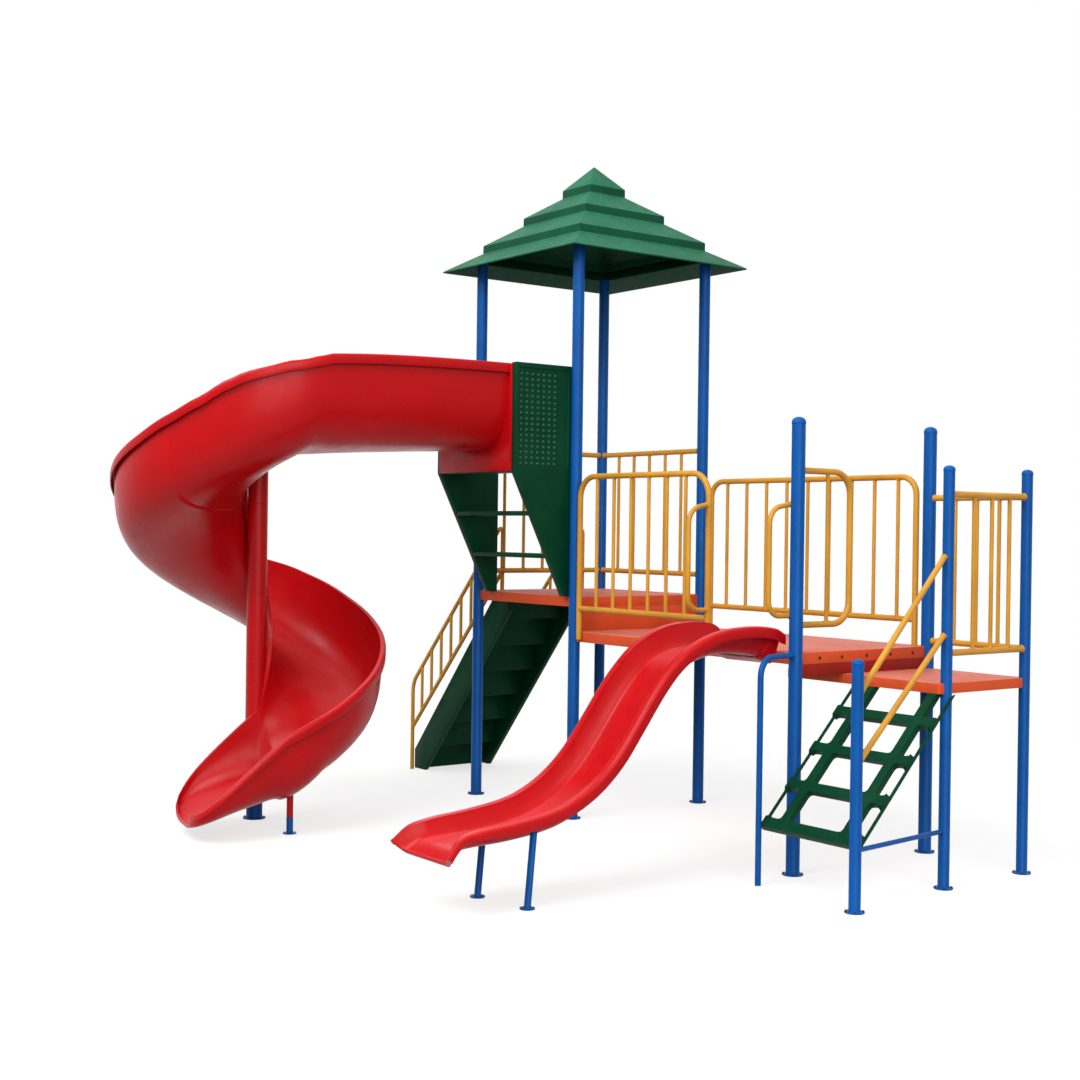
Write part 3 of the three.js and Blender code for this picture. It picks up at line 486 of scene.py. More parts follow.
shaded_riser_coat = coating("shaded_riser_coating", SHADED_RISER_RED, 0.5, grain=400, patch=4, dust_and_highlight=0.1, sheen=0.12)
bolt_steel = coating("bolt_steel", DARK_STEEL, 0.45, patch=30, relief=0.2, metallic=0.4)


# Posts

PLATE_LIP, PLATE_THICK, PLATE_EDGE = 17, 6, 1.2
POST_WALL = 3
CAP_PLUG, CAP_WALL, CAP_BAND, CAP_STEPS = 25, 3.4, 10, 10
ANCHORS, ANCHOR_OUT = 4, 1.5
ANCHOR_BOLT = {"radius": 4.6, "height": 4.5, "washer": 6.6, "washer_height": 1.2}

# The weld round a post's foot, and the band of its cap, as (outward, upward) offsets
FOOT_WELD = [(5, 0), (2, 1.5), (0, 6)]
CAP_RIM = [(1.2, 0), (1.4, 1.2), (1.4, CAP_BAND - 1), (0.3, CAP_BAND)]


def post(node, x, y, radius, top, dome=True):
    """A tube on a round base plate with anchor bolts, and a domed cap."""
    shape = Shape()
    plate = radius + PLATE_LIP
    weld = [(radius + out, PLATE_THICK + up) for out, up in FOOT_WELD]
    shape.turned([(AXIS_R, 0), (plate - 1, 0), (plate, 1), (plate, PLATE_THICK - PLATE_EDGE),
                  (plate - PLATE_EDGE, PLATE_THICK), *weld, (radius, top),
                  (radius - POST_WALL, top), (radius - POST_WALL, weld[-1][1]),
                  (AXIS_R, weld[-1][1])], x, y)
    piece(f"{node}_tube", shape, blue_paint, (node,))
    anchors(node, x, y, radius)
    if dome:
        cap(node, x, y, radius, top + SEAT)


def anchors(node, x, y, radius):
    bolts = Shape()
    out = radius + PLATE_LIP / 2 + ANCHOR_OUT
    for k in range(ANCHORS):
        turn = math.pi / 4 + 2 * math.pi / ANCHORS * k
        place = (x + out * math.cos(turn), y + out * math.sin(turn), PLATE_THICK)
        bolts.bolt(place, (0, 0, 1), **ANCHOR_BOLT)
    piece(f"{node}_anchors", bolts, bolt_steel)


def cap(node, x, y, radius, base):
    shape = Shape()
    profile = [(AXIS_R, base - CAP_PLUG), (radius - CAP_WALL, base - CAP_PLUG),
               (radius - CAP_WALL, base)]
    profile += [(radius + out, base + up) for out, up in CAP_RIM]
    for k in range(CAP_STEPS):
        turn = math.pi / 2 * (k + 0.5) / CAP_STEPS
        profile.append((radius * math.cos(turn),
                        base + CAP_BAND + (radius - CAP_BAND) * math.sin(turn)))
    profile.append((AXIS_R, base + radius))
    shape.turned(profile, x, y)
    piece(f"{node}_dome", shape, cap_plastic, (f"{node}_cap",))


for end, y in (("front", 0), ("rear", BAY)):
    for side, x in (("left", -BAY), ("right", 0)):
        post(f"tower_post_{end}_{side}", x, y, POST_R, TOWER_POST_TOP, dome=False)
for end, y in (("front", 0), ("rear", BAY)):
    post(f"entry_post_{end}", ENTRY_X, y, POST_R, ENTRY_TOP - POST_R - SEAT)
for end, y in (("front", LANDING_Y), ("rear", BAY)):
    post(f"landing_post_{end}", LANDING_X, y, LOW_POST_R, LANDING_TOP - LOW_POST_R - SEAT)
post("ladder_post", LADDER_X, LADDER_Y, LOW_POST_R, LADDER_TOP - LOW_POST_R - SEAT)
post("spiral_column", SPIRAL_X, SPIRAL_Y, COLUMN_R, COLUMN_TOP)

# Flat-sided pieces with rounded edges

DECK_EDGE, DECK_BRIM, DECK_CORNER, RISER_EDGE = 1.2, 11, 30, 1.5
PANEL_EDGE, STAIR_EDGE, LADDER_EDGE, FRAME_EDGE, ROOF_EDGE = 5, 4, 3, 3, 9

for deck in ("upper_deck", "middle_deck", "lower_deck"):
    rounded_copy(deck, deck_coat, DECK_EDGE, 2, brim=DECK_BRIM,
                 corner=DECK_CORNER)
rounded_copy("upper_deck_riser", deck_coat, RISER_EDGE, 2)
# The middle deck's riser gets the darker coat, a painted shade
rounded_copy("middle_deck_riser", shaded_riser_coat, RISER_EDGE, 2)
for part in ("climb_panel_left", "climb_panel_right", "climb_step_low", "climb_step_middle",
             "climb_step_high"):
    rounded_copy(part, green_plastic, PANEL_EDGE)
for part in ("stair_stringer_left", "stair_stringer_right", "stair_flight"):
    rounded_copy(part, green_plastic, STAIR_EDGE)

LADDER_SLOPE, LADDER_RUN, LADDER_HEAD_Y = math.radians(45.6), 820, 330
LADDER_LEFT, LADDER_RIGHT = 1705, 2266

# The spans between the ladder's rungs, measured from its foot
RUNG_PITCH, SPAN_START, SPAN_END = 217, 23, 194
TOP_SPAN_START = 674
LADDER_SPANS = [(RUNG_PITCH * i + SPAN_START, RUNG_PITCH * i + SPAN_END) for i in range(3)]
LADDER_SPANS.append((TOP_SPAN_START, 2 * LADDER_RUN))

# The outer strips, which thin to a share along ramps, and the inner rail at the right
STRIP_WIDTH, STRIP_SHARE, STRIP_BACK = 11.6, 0.3, -16
RAMP_START, RAMP_END = 3, 14
INNER_RAIL_FAR, INNER_RAIL_NEAR, INNER_RAIL_SHIFT = 165, 60, 20


def ladder_thinned(work):
    """Thins the ladder's outer strips between its rungs, as its moulding is there."""
    head_z = max(v.co.z for v in work.verts) / METRE
    along = Vector((0, math.cos(LADDER_SLOPE), math.sin(LADDER_SLOPE)))
    out = Vector((0, -math.sin(LADDER_SLOPE), math.cos(LADDER_SLOPE)))
    foot = Vector((0, LADDER_HEAD_Y, head_z)) - along * LADDER_RUN
    left, right = LADDER_LEFT + STRIP_WIDTH, LADDER_RIGHT - STRIP_WIDTH
    cuts = [(Vector((x, 0, 0)), Vector((1, 0, 0))) for x in (left, right)]
    for low, high in LADDER_SPANS:
        cuts += [(foot + along * u, along)
                 for u in (low + RAMP_START, low + RAMP_END, high - RAMP_END, high - RAMP_START)]
    for place, normal in cuts:
        bmesh.ops.bisect_plane(work, geom=work.verts[:] + work.edges[:] + work.faces[:],
                               dist=SAME_POINT / 2, plane_co=place * METRE, plane_no=normal)
    for vert in work.verts:
        x = vert.co.x / METRE
        place = Vector((0, vert.co.y, vert.co.z)) / METRE - foot
        u, n = place.dot(along), place.dot(out)
        if any(low + RAMP_END - 1 < u < high - RAMP_END + 1 for low, high in LADDER_SPANS):
            if x < left + FACE_GAP:
                vert.co += out * n * (STRIP_SHARE - 1) * METRE
            elif x > right - FACE_GAP:
                vert.co += out * (n - STRIP_BACK) * (STRIP_SHARE - 1) * METRE
        if LADDER_RIGHT - INNER_RAIL_FAR < x < LADDER_RIGHT - INNER_RAIL_NEAR:
            vert.co.x += INNER_RAIL_SHIFT * METRE


rounded_copy("ladder_panel", green_plastic, LADDER_EDGE, reshape=ladder_thinned)
rounded_copy("roof_frame", green_paint, FRAME_EDGE)
rounded_copy("roof_canopy", roof_plastic, ROOF_EDGE, 4)


# Guards and rails


def rail_piece(name, routes, bars, replaced, material=yellow_paint,
               rail=RAIL_R, bar=BAR_R, welds=()):
    """Rails with bars between them, a weld at each end of a bar, and other welds."""
    shape = Shape()
    for route in routes:
        shape.tube(route, rail)
    for low, high in bars:
        shape.tube([low, high], bar, sides=16)
        axis = Vector(high) - Vector(low)
        for end, sense in ((Vector(low), 1), (Vector(high), -1)):
            shape.bead(end + axis.normalized() * sense * (rail - 1), axis, bar)
    for centre, axis, radius in welds:
        shape.bead(centre, axis, radius)
    piece(name, shape, material, replaced, angle=50)


def even_bars(start, end, count, low, high):
    """Upright bars that part the way from start to end evenly."""
    start, end = Vector(start), Vector(end)
    places = [start.lerp(end, i / (count + 1)) for i in range(1, count + 1)]
    return [((p.x, p.y, low), (p.x, p.y, high)) for p in places]


def post_guard(name, start, end, shift, radii, count, levels, bar_shift=0):
    """Two rails and bars between two posts, shifted off the line between their axes."""
    start, end = Vector((*start, 0)) + Vector(shift), Vector((*end, 0)) + Vector(shift)
    along = (end - start).normalized()
    first, last = start + along * radii[0], end - along * radii[1]
    routes, welds = [], []
    for level in levels:
        lift = Vector((0, 0, level))
        routes.append([first - along * RAIL_SINK + lift, last + along * RAIL_SINK + lift])
        welds += [(place + lift, along, RAIL_R) for place in (first, last)]
    bars = even_bars(first + along * bar_shift, last + along * bar_shift, count, *levels)
    rail_piece(f"{name}_tubes", routes, bars, (name,), welds=welds)


TOWER_LEVELS, TOWER_BARS, TOWER_RAIL_IN = (1315, 2027), 5, 6
LANDING_LEVELS, LANDING_BARS, SIDE_BAR_SHIFT = (1040, 1740), 3, 24

post_guard("left_guard", (-BAY, 0), (-BAY, BAY), (TOWER_RAIL_IN, 0, 0), (POST_R, POST_R),
           TOWER_BARS, TOWER_LEVELS)
post_guard("rear_guard", (-BAY, BAY), (0, BAY), (0, -TOWER_RAIL_IN, 0), (POST_R, POST_R),
           TOWER_BARS, TOWER_LEVELS)
post_guard("landing_rear_guard", (ENTRY_X, BAY), (LANDING_X, BAY), (0, 0, 0),
           (POST_R, LOW_POST_R), LANDING_BARS, LANDING_LEVELS)
post_guard("landing_side_guard", (LANDING_X, LANDING_Y), (LANDING_X, BAY), (0, 0, 0),
           (LOW_POST_R, LOW_POST_R), LANDING_BARS, LANDING_LEVELS, SIDE_BAR_SHIFT)

GUARD_LOW, GUARD_HIGH = 1140, 1846


def deck_guard(name, y, ends, feet, bend, bar_places):
    """A bent rail over a straight one, with bars between them, along a side of the decks."""
    (first, last), (first_foot, last_foot) = ends, feet
    hoop = bent([(first, y, first_foot), (first, y, GUARD_HIGH), (last, y, GUARD_HIGH),
                 (last, y, last_foot)], bend)
    bars = [((x, y, GUARD_LOW), (x, y, GUARD_HIGH)) for x in bar_places]
    rail_piece(f"{name}_tubes", [hoop, [(first, y, GUARD_LOW), (last, y, GUARD_LOW)]], bars,
               (name,))


# The front guard hangs on the deck's lip, and the back guard stands on the deck
FRONT_FLAT, FRONT_START, FRONT_END, FRONT_FEET = 14.8, 70, 1077, (975, 1124)
FRONT_BEND, BACK_BEND = 115, 90
FRONT_Y = -DECK_LIP - SEAT - FRONT_FLAT
FRONT_FIRST, FRONT_PITCH, FRONT_BARS = 214, 139, 6
deck_guard("front_guard", FRONT_Y, (FRONT_START, FRONT_END), FRONT_FEET, FRONT_BEND,
           [FRONT_FIRST + FRONT_PITCH * i for i in range(FRONT_BARS)])

BACK_ENDS, BACK_FOOT = (100, 1575), MIDDLE_DECK + SEAT
BACK_FIRST, BACK_LAST, BACK_BARS = 230, 1460, 9
deck_guard("back_guard", BAY - RAIL_R, BACK_ENDS, (BACK_FOOT, BACK_FOOT), BACK_BEND,
           [blend(BACK_FIRST, BACK_LAST, i / (BACK_BARS - 1)) for i in range(BACK_BARS)])

SIDE_REACH, SIDE_BAR_Y, SIDE_BEND = 348, 197, 105
rail_piece("side_guard_tubes", [
    bent([(ENTRY_X, POST_R, GUARD_HIGH), (ENTRY_X, SIDE_REACH, GUARD_HIGH),
          (ENTRY_X, SIDE_REACH, GUARD_LOW), (ENTRY_X, POST_R, GUARD_LOW)], SIDE_BEND)],
    [((ENTRY_X, SIDE_BAR_Y, GUARD_LOW), (ENTRY_X, SIDE_BAR_Y, GUARD_HIGH))], ("side_guard",),
    welds=[((ENTRY_X, POST_R, level), (0, 1, 0), RAIL_R) for level in (GUARD_LOW, GUARD_HIGH)])

HANDLE_LOW, HANDLE_HIGH, HANDLE_FALL = 1182, 1691, 22
HANDLE_OUT, HANDLE_BEND, HANDLE_R, HANDLE_WELD = -152, 68, GRIP_R - 1, 3
RIGHT_HANDLE_OFF, RIGHT_HANDLE_Y = 26, -17
HANDLE_PLACES = {"left": (FRONT_END, FRONT_Y - GRIP_R),
                 "right": (ENTRY_X - RIGHT_HANDLE_OFF, RIGHT_HANDLE_Y)}
for side, (x, start) in HANDLE_PLACES.items():
    rail_piece(f"slide_handle_{side}_tube", [
        bent([(x, start, HANDLE_HIGH), (x, HANDLE_OUT, HANDLE_HIGH - HANDLE_FALL),
              (x, HANDLE_OUT, HANDLE_LOW), (x, start, HANDLE_LOW)], HANDLE_BEND)],
        [], (f"slide_handle_{side}",), rail=HANDLE_R,
        welds=[((x, start - HANDLE_WELD, level), (0, 1, 0), HANDLE_R)
               for level in (HANDLE_LOW, HANDLE_HIGH)])

# Slides

WALL = 9
CURVE_STEPS = 30
ROLL_POINTS = 11

# A section's ring runs along the channel, over a rim, back along the underside, over a rim
RIM_START = CURVE_STEPS + 1
UNDER_START = RIM_START + ROLL_POINTS
UNDER_END = UNDER_START + CURVE_STEPS
RING_COUNT = 2 * UNDER_START

# How full a round channel's curve is, and a flat one's floor and walls
ROUND_FULLNESS, FLAT_PULL, WALL_FULLNESS = 0.62, 0.12, 0.9
LIP, SKIRT = 30, 50
TIP_LIP, TIP_SKIRT = 17, 24


def trough(low, high, rim, depth, skirt=SKIRT, lip=LIP, wall_share=None):
    """A slide's cross-section as (across, height) pairs: channel, rolled rims and underside.

    With a wall share, the channel has a flat floor between walls of that share of its half.
    """
    middle, half = (low + high) / 2, (high - low) / 2 - lip
    skirt = min(skirt, depth - WALL)

    def curve(reach, top):
        points = []
        for k in range(CURVE_STEPS + 1):
            turn = math.pi * k / CURVE_STEPS
            across, down = -math.cos(turn), math.sin(turn)
            if wall_share:
                across *= 1 - FLAT_PULL * down ** 2
                climb = min(1, (1 - abs(across)) / wall_share)
                down = math.sin(math.pi / 2 * climb) ** WALL_FULLNESS
            else:
                across = math.copysign(abs(across) ** ROUND_FULLNESS, across)
                down = abs(down) ** ROUND_FULLNESS
            points.append((middle + reach * across, top - (depth - WALL) * down))
        return points

    # From the channel over the rim and back, as (inward, upward) offsets from its edge
    roll = [(lip - 5, -0.5), (lip * 0.66, 2.5), (lip * 0.28, 1.5), (lip * 0.07, -5), (0, -13),
            (0.6, 3 - skirt), (2, -skirt), (WALL - 2, -skirt), (WALL - 0.6, 3 - skirt),
            (WALL, -WALL - 4), (WALL + 4, -WALL)]
    high_roll = [(high - inward, rim + up) for inward, up in roll]
    low_roll = [(low + inward, rim + up) for inward, up in reversed(roll)]
    return curve(half, rim) + high_roll + curve(half + WALL, rim - WALL)[::-1] + low_roll


def channel(shape, rings):
    """Joins a slide's rings and closes both ends across the thickness of the wall."""
    start = len(shape.points)
    shape.loft(rings, (False, False))
    for base in (start, start + RING_COUNT * (len(rings) - 1)):
        bands = [(i, i + 1, UNDER_END - i - 1, UNDER_END - i)
                 for i in range(CURVE_STEPS)]
        bands += [tuple(range(RIM_START - 1, UNDER_START + 1)),
                  (*range(UNDER_END, RING_COUNT), 0)]
        shape.faces += [tuple(base + i for i in band) for band in bands]


END_LIP_R, END_LIP_OUT = 8, 3


def end_lip(shape, ring, behind):
    """A rolled lip round the end of a slide's channel."""
    route = [Vector(ring[i]) for i in (RING_COUNT - 2, RING_COUNT - 1, *range(0, RIM_START, 2),
                                       RIM_START, RIM_START + 1)]
    middle = sum(route, Vector()) / len(route)
    floor_index = CURVE_STEPS // 2
    back = (Vector(behind[floor_index]) - Vector(ring[floor_index])).normalized()
    back *= END_LIP_R - 1
    shape.tube([p + (p - middle).normalized() * END_LIP_OUT + back for p in route], END_LIP_R,
               sides=12)


# Spiral slide

TURN, FIRST_SEAM, SECOND_SEAM = (math.radians(a) for a in (372, 60, 204))
SEAM_GAP = 0.0008
SLEEVE_R = 53
SLEEVE_SEAT = SLEEVE_R + 0.8
FLANGE_FRONT, FLANGE_BACK = -394.3, -385.4
FLANGE_FACE = FLANGE_FRONT + FACE_GAP

# The slide's mouth, the start of its bend, the start of its fall, its foot and its exit
MOUTH_LOW, MOUTH_HIGH, MOUTH_RIM, MOUTH_DEPTH = 181, 846, 2440, 455
BEND_HIGH, BEND_RIM, BEND_DEPTH, BEND_BANK = 810, 2413, 443, 70
FALL_RIM, FALL_DEPTH = 2425, 455
FOOT_HIGH, FOOT_RIM, FOOT_DEPTH, FOOT_BANK = 690, 530, 360, -66
FOOT_HIGH_SHARE = 0.75
EXIT_RIM, EXIT_DEPTH, EXIT_RUN = 130, 70, 455
EXIT_DRAW, DRAW_START_SHARE, DRAW_ROUND_SHARE = 150, 0.66, 0.98

# The bulge over the exit leg, its place and reach in degrees, of which the exit makes 70
BOSS_PLACE, BOSS_REACH, BOSS_HEIGHT, EXIT_ANGLE = 364, 13, 30, 70

# How far the rim lies above an even fall, in millimetres, at turns given in degrees
RIM_RISE = [(0, -12), (8, 0), (18, 22), (32, 36), (38, 28), (48, 0), (60, -18), (79, -34),
            (94, -36), (127, -46), (150, -44), (200, 4), (226, 36), (241, 40), (258, 32),
            (290, 34), (330, 14), (355, 2), (372, 0)]


def rim_rise(turn):
    angle = math.degrees(turn)
    for (low, first), (high, last) in zip(RIM_RISE, RIM_RISE[1:]):
        if angle <= high:
            share = past(angle, low, high)
            return blend(first, last, share * share * (3 - 2 * share))
    return 0


def leg_boss(angle):
    """How far the underside bulges where the exit leg meets it."""
    return BOSS_HEIGHT * max(0, 1 - ((angle - BOSS_PLACE) / BOSS_REACH) ** 2)


def entry_station(share):
    """The section at a share of the straight entry."""
    return {"y": blend(FLANGE_FRONT, SPIRAL_Y, share), "turn": 0, "slip": 0,
            "low": blend(MOUTH_LOW, SLEEVE_SEAT, share),
            "high": blend(MOUTH_HIGH, BEND_HIGH, share),
            "rim": blend(MOUTH_RIM, BEND_RIM, share ** 3),
            "depth": blend(MOUTH_DEPTH, BEND_DEPTH, share ** 3),
            "bank": BEND_BANK * share, "skirt": SKIRT, "lip": LIP}


def turn_station(turn):
    """The section at a turn round the column."""
    share = turn / TURN
    rise = rim_rise(turn)
    return {"y": SPIRAL_Y, "turn": turn, "slip": 0,
            "low": SLEEVE_SEAT,
            "high": blend(BEND_HIGH, FOOT_HIGH, min(share / FOOT_HIGH_SHARE, 1)),
            "rim": blend(FALL_RIM, FOOT_RIM, share) + rise,
            "depth": blend(FALL_DEPTH, FOOT_DEPTH, share ** 1.5) + rise + leg_boss(math.degrees(turn)),
            "bank": blend(BEND_BANK, FOOT_BANK, share), "skirt": SKIRT, "lip": LIP}


def exit_station(share):
    """The section at a share of the straight exit, which narrows in a round."""
    station = turn_station(TURN)
    rounding = past(share, DRAW_START_SHARE)
    draw = EXIT_DRAW * (1 - math.sqrt(1 - DRAW_ROUND_SHARE * rounding ** 2))
    station.update(
        slip=EXIT_RUN * share,
        low=station["low"] + draw,
        high=station["high"] - draw,
        rim=blend(FOOT_RIM, EXIT_RIM, share),
        depth=blend(FOOT_DEPTH, EXIT_DEPTH, share) + leg_boss(math.degrees(TURN) + EXIT_ANGLE * share),
        bank=FOOT_BANK * (1 - share ** 4),
        skirt=blend(SKIRT, TIP_SKIRT, share),
        lip=blend(LIP, TIP_LIP, rounding))
    return station


def spiral_ring(station):
    """The points of a section, square to the way. Its bank lowers the inside."""
    turn, slip, low, high = (station[key] for key in ("turn", "slip", "low", "high"))
    ring = []
    for across, level in trough(low, high, station["rim"], station["depth"], station["skirt"],
                                station["lip"]):
        fall = station["bank"] * (high - across) / (high - low)
        ring.append(Vector((SPIRAL_X + math.cos(turn) * across - math.sin(turn) * slip,
                            station["y"] - math.sin(turn) * across - math.cos(turn) * slip,
                            level - fall)))
    return ring


def turn_stations(start, end, step=math.radians(3)):
    count = max(1, round((end - start) / step))
    return [turn_station(blend(start, end, i / count)) for i in range(count + 1)]


def moulding(name, stations, node, lipped=False):
    shape = Shape()
    rings = [spiral_ring(station) for station in stations]
    channel(shape, rings)
    if lipped:
        end_lip(shape, rings[-1], rings[-2])
    piece(name, shape, red_plastic, (node,), angle=75)


ENTRY_STEPS, EXIT_STEPS = 14, 18
moulding("spiral_entry_moulding", [entry_station(i / ENTRY_STEPS) for i in range(ENTRY_STEPS)]
         + turn_stations(0, FIRST_SEAM - SEAM_GAP), "spiral_entry_section")
moulding("spiral_middle_moulding", turn_stations(FIRST_SEAM, SECOND_SEAM - SEAM_GAP),
         "spiral_middle_section")
moulding("spiral_exit_moulding", turn_stations(SECOND_SEAM, TURN)
         + [exit_station((i + 1) / EXIT_STEPS) for i in range(EXIT_STEPS)],
         "spiral_exit_section", lipped=True)

FLANGE_LEFT, FLANGE_RIGHT, FLANGE_LOW, FLANGE_EDGE = -755, -62, 1870, 2.5
mouth = trough(MOUTH_LOW, MOUTH_HIGH, MOUTH_RIM, MOUTH_DEPTH)[:RIM_START]
outline = [(FLANGE_LEFT, MOUTH_RIM), (FLANGE_LEFT, FLANGE_LOW), (FLANGE_RIGHT, FLANGE_LOW),
           (FLANGE_RIGHT, MOUTH_RIM)]
outline += [(SPIRAL_X + across, level) for across, level in reversed(mouth)]
flange = Shape()
flange.loft([[Vector((x, y, z)) for x, z in outline] for y in (FLANGE_FACE, FLANGE_BACK)])
piece("spiral_entry_flange", flange, red_plastic, angle=40, bevel=FLANGE_EDGE)

SLEEVE_BORE = COLUMN_R + POST_GAP
SLEEVE_FOOT, SLEEVE_PITCH, SLEEVE_SEAMS = 240, 480, 3
SLEEVE_EDGE, FOOT_EDGE, HEAD_EDGE = 2.2, 2, 3
SEAM_HALF, SEAM_SINK = 2, 1.6
profile = [(SLEEVE_BORE, SLEEVE_FOOT), (SLEEVE_R - SLEEVE_EDGE, SLEEVE_FOOT),
           (SLEEVE_R, SLEEVE_FOOT + FOOT_EDGE)]
for k in range(1, SLEEVE_SEAMS + 1):
    seam = SLEEVE_FOOT + SLEEVE_PITCH * k
    profile += [(SLEEVE_R, seam - SEAM_HALF), (SLEEVE_R - SEAM_SINK, seam),
                (SLEEVE_R, seam + SEAM_HALF)]
profile += [(SLEEVE_R, COLUMN_TOP - HEAD_EDGE), (SLEEVE_R - SLEEVE_EDGE, COLUMN_TOP),
            (SLEEVE_BORE, COLUMN_TOP), (SLEEVE_BORE, SLEEVE_FOOT)]
sleeve = Shape()
sleeve.turned(profile, SPIRAL_X, SPIRAL_Y)
piece("spiral_sleeve_tube", sleeve, red_plastic, ("spiral_column_sleeve",))

LEG_EDGE, LEG_ANGLE = 1, 40
rounded_copy("spiral_exit_leg", red_plastic, LEG_EDGE, 2, LEG_ANGLE)
for leg in ("spiral_exit_foot", "wave_slide_leg_left", "wave_slide_leg_right"):
    rounded_copy(leg, blue_paint, LEG_EDGE, 2, LEG_ANGLE)


# Wave slide


def spline(points, count=6):
    """A smooth curve through its points."""
    smooth = []
    for i in range(len(points) - 1):
        a, b = points[max(i - 1, 0)], points[i]
        c, d = points[i + 1], points[min(i + 2, len(points) - 1)]
        for k in range(count):
            t = k / count
            smooth.append(tuple(0.5 * (2 * q + (r - p) * t + (2 * p - 5 * q + 4 * r - w) * t * t
                                       + (3 * q - p - 3 * r + w) * t ** 3)
                                for p, q, r, w in zip(a, b, c, d)))
    smooth.append(points[-1])
    return smooth


WAVE_RUN, WAVE_HIGH, WAVE_LOW = 1823, 1132, 265
WAVE_NEAR, WAVE_FAR, WAVE_NEAR_DRAW, WAVE_FAR_DRAW = 1590, 1100, 56, 34
WAVE_DRAWN_SHARE, WAVE_SKIRT_SHARE, WAVE_FLARE_SHARE, WAVE_FLARE = 0.35, 0.8, 0.93, 30
WAVE_LIP, WAVE_WALL_SHARE = 46, 0.3
WAVE_HEAD_DEPTH, WAVE_DEPTH, WAVE_TIP_DEPTH, WAVE_DEEP_SHARE = 145, 95, 62, 0.3

# The rim's line, as (run, height) shares from the deck to the tip
WAVE_SHARES = [
    (0.0046, 0.96), (0.033, 0.988), (0.099, 1), (0.181, 0.988), (0.247, 0.95), (0.307, 0.885),
    (0.357, 0.799), (0.406, 0.686), (0.466, 0.521), (0.521, 0.377), (0.581, 0.266),
    (0.647, 0.188), (0.713, 0.145), (0.812, 0.116), (0.905, 0.098), (0.96, 0.071), (1, 0)]


def wave_ring(rim_point, heading):
    """The points of the wave slide's section, square to its rim."""
    share = -rim_point.y / WAVE_RUN
    lift = Vector((0, heading.z, -heading.y))
    drawn = min(share / WAVE_DRAWN_SHARE, 1)
    opening = past(share, WAVE_FLARE_SHARE)
    flare = WAVE_FLARE * opening ** 2
    skirt = blend(SKIRT, TIP_SKIRT, past(share, WAVE_SKIRT_SHARE))
    depth = blend(WAVE_HEAD_DEPTH, WAVE_DEPTH, min(share / WAVE_DEEP_SHARE, 1))
    depth = blend(depth, WAVE_TIP_DEPTH, share ** 6)
    section = trough(WAVE_FAR + WAVE_FAR_DRAW * drawn - flare / 2,
                     WAVE_NEAR - WAVE_NEAR_DRAW * drawn + flare, 0, depth, skirt,
                     blend(WAVE_LIP, TIP_LIP, opening), WAVE_WALL_SHARE)
    return [rim_point + Vector((across, 0, 0)) + lift * level for across, level in section]


rim_line = [Vector((0, -run * WAVE_RUN, blend(WAVE_LOW, WAVE_HIGH, height)))
            for run, height in spline(WAVE_SHARES)]
headings = [Vector((0, -1, 0))]
headings += [(after - before).normalized()
             for before, after in zip(rim_line, rim_line[2:] + rim_line[-1:])]
wave_rings = [wave_ring(rim_point, heading) for rim_point, heading in zip(rim_line, headings)]
wave = Shape()
channel(wave, wave_rings)
end_lip(wave, wave_rings[-1], wave_rings[-2])
piece("wave_slide_moulding", wave, red_plastic, ("wave_slide",), angle=50)

# Stair handrails, ladder rails and pipe

STAIR_HEAD_X, STAIR_RUN, STAIR_HEAD_LEG, STAIR_BEND = -941.3, 985, 450, 60
STAIR_RAIL_FOOT = STAIR_HEAD_X - STAIR_RUN
STAIR_KNEE, STAIR_HEAD, STAIR_DROP, STAIR_GAPS = 560, 1600, 290, 9
STAIR_RAIL_R = GRIP_R - 0.8
STAIR_SIDES = {"left": 184, "right": 791}

for side, y in STAIR_SIDES.items():
    bars = []
    for i in range(1, STAIR_GAPS):
        x = blend(STAIR_RAIL_FOOT, STAIR_HEAD_X, i / STAIR_GAPS)
        level = blend(STAIR_KNEE, STAIR_HEAD, (x - STAIR_RAIL_FOOT) / STAIR_RUN)
        bars.append(((x, y, level - STAIR_DROP), (x, y, level)))
    rail_piece(f"stair_handrail_{side}_tubes", [
        bent([(STAIR_RAIL_FOOT, y, 0), (STAIR_RAIL_FOOT, y, STAIR_KNEE),
              (STAIR_HEAD_X, y, STAIR_HEAD), (STAIR_HEAD_X, y, STAIR_HEAD - STAIR_HEAD_LEG)],
             STAIR_BEND),
        [(STAIR_RAIL_FOOT, y, STAIR_KNEE - STAIR_DROP),
         (STAIR_HEAD_X, y, STAIR_HEAD - STAIR_DROP)]],
        bars, (f"stair_handrail_{side}",), rail=STAIR_RAIL_R)

LADDER_RAIL_R, BRACE_R = GRIP_R - 0.5, 10.5
UPPER_RAIL_LEVELS, LOWER_RAIL_LEVELS, BRACE_LEVELS = (886, 1490), (605, 1140), (255, 255)


def post_to_post(node, levels, radius, material):
    """A bar from the ladder's post to the landing's front post, at a level on each."""
    start = Vector((LADDER_X, LADDER_Y, levels[0]))
    end = Vector((LANDING_X, LANDING_Y, levels[1]))
    along = (end - start) / (end - start).xy.length
    inset = along * (LOW_POST_R + POST_GAP)
    first, last = start + inset, end - inset
    welds = [(first + along * RAIL_SINK, along, radius), (last - along * RAIL_SINK, along, radius)]
    rail_piece(f"{node}_tube", [[first, last]], [], (node,), material, rail=radius,
               welds=welds)


post_to_post("ladder_rail_upper", UPPER_RAIL_LEVELS, LADDER_RAIL_R, yellow_paint)
post_to_post("ladder_rail_lower", LOWER_RAIL_LEVELS, LADDER_RAIL_R, yellow_paint)
post_to_post("ladder_brace", BRACE_LEVELS, BRACE_R, blue_paint)

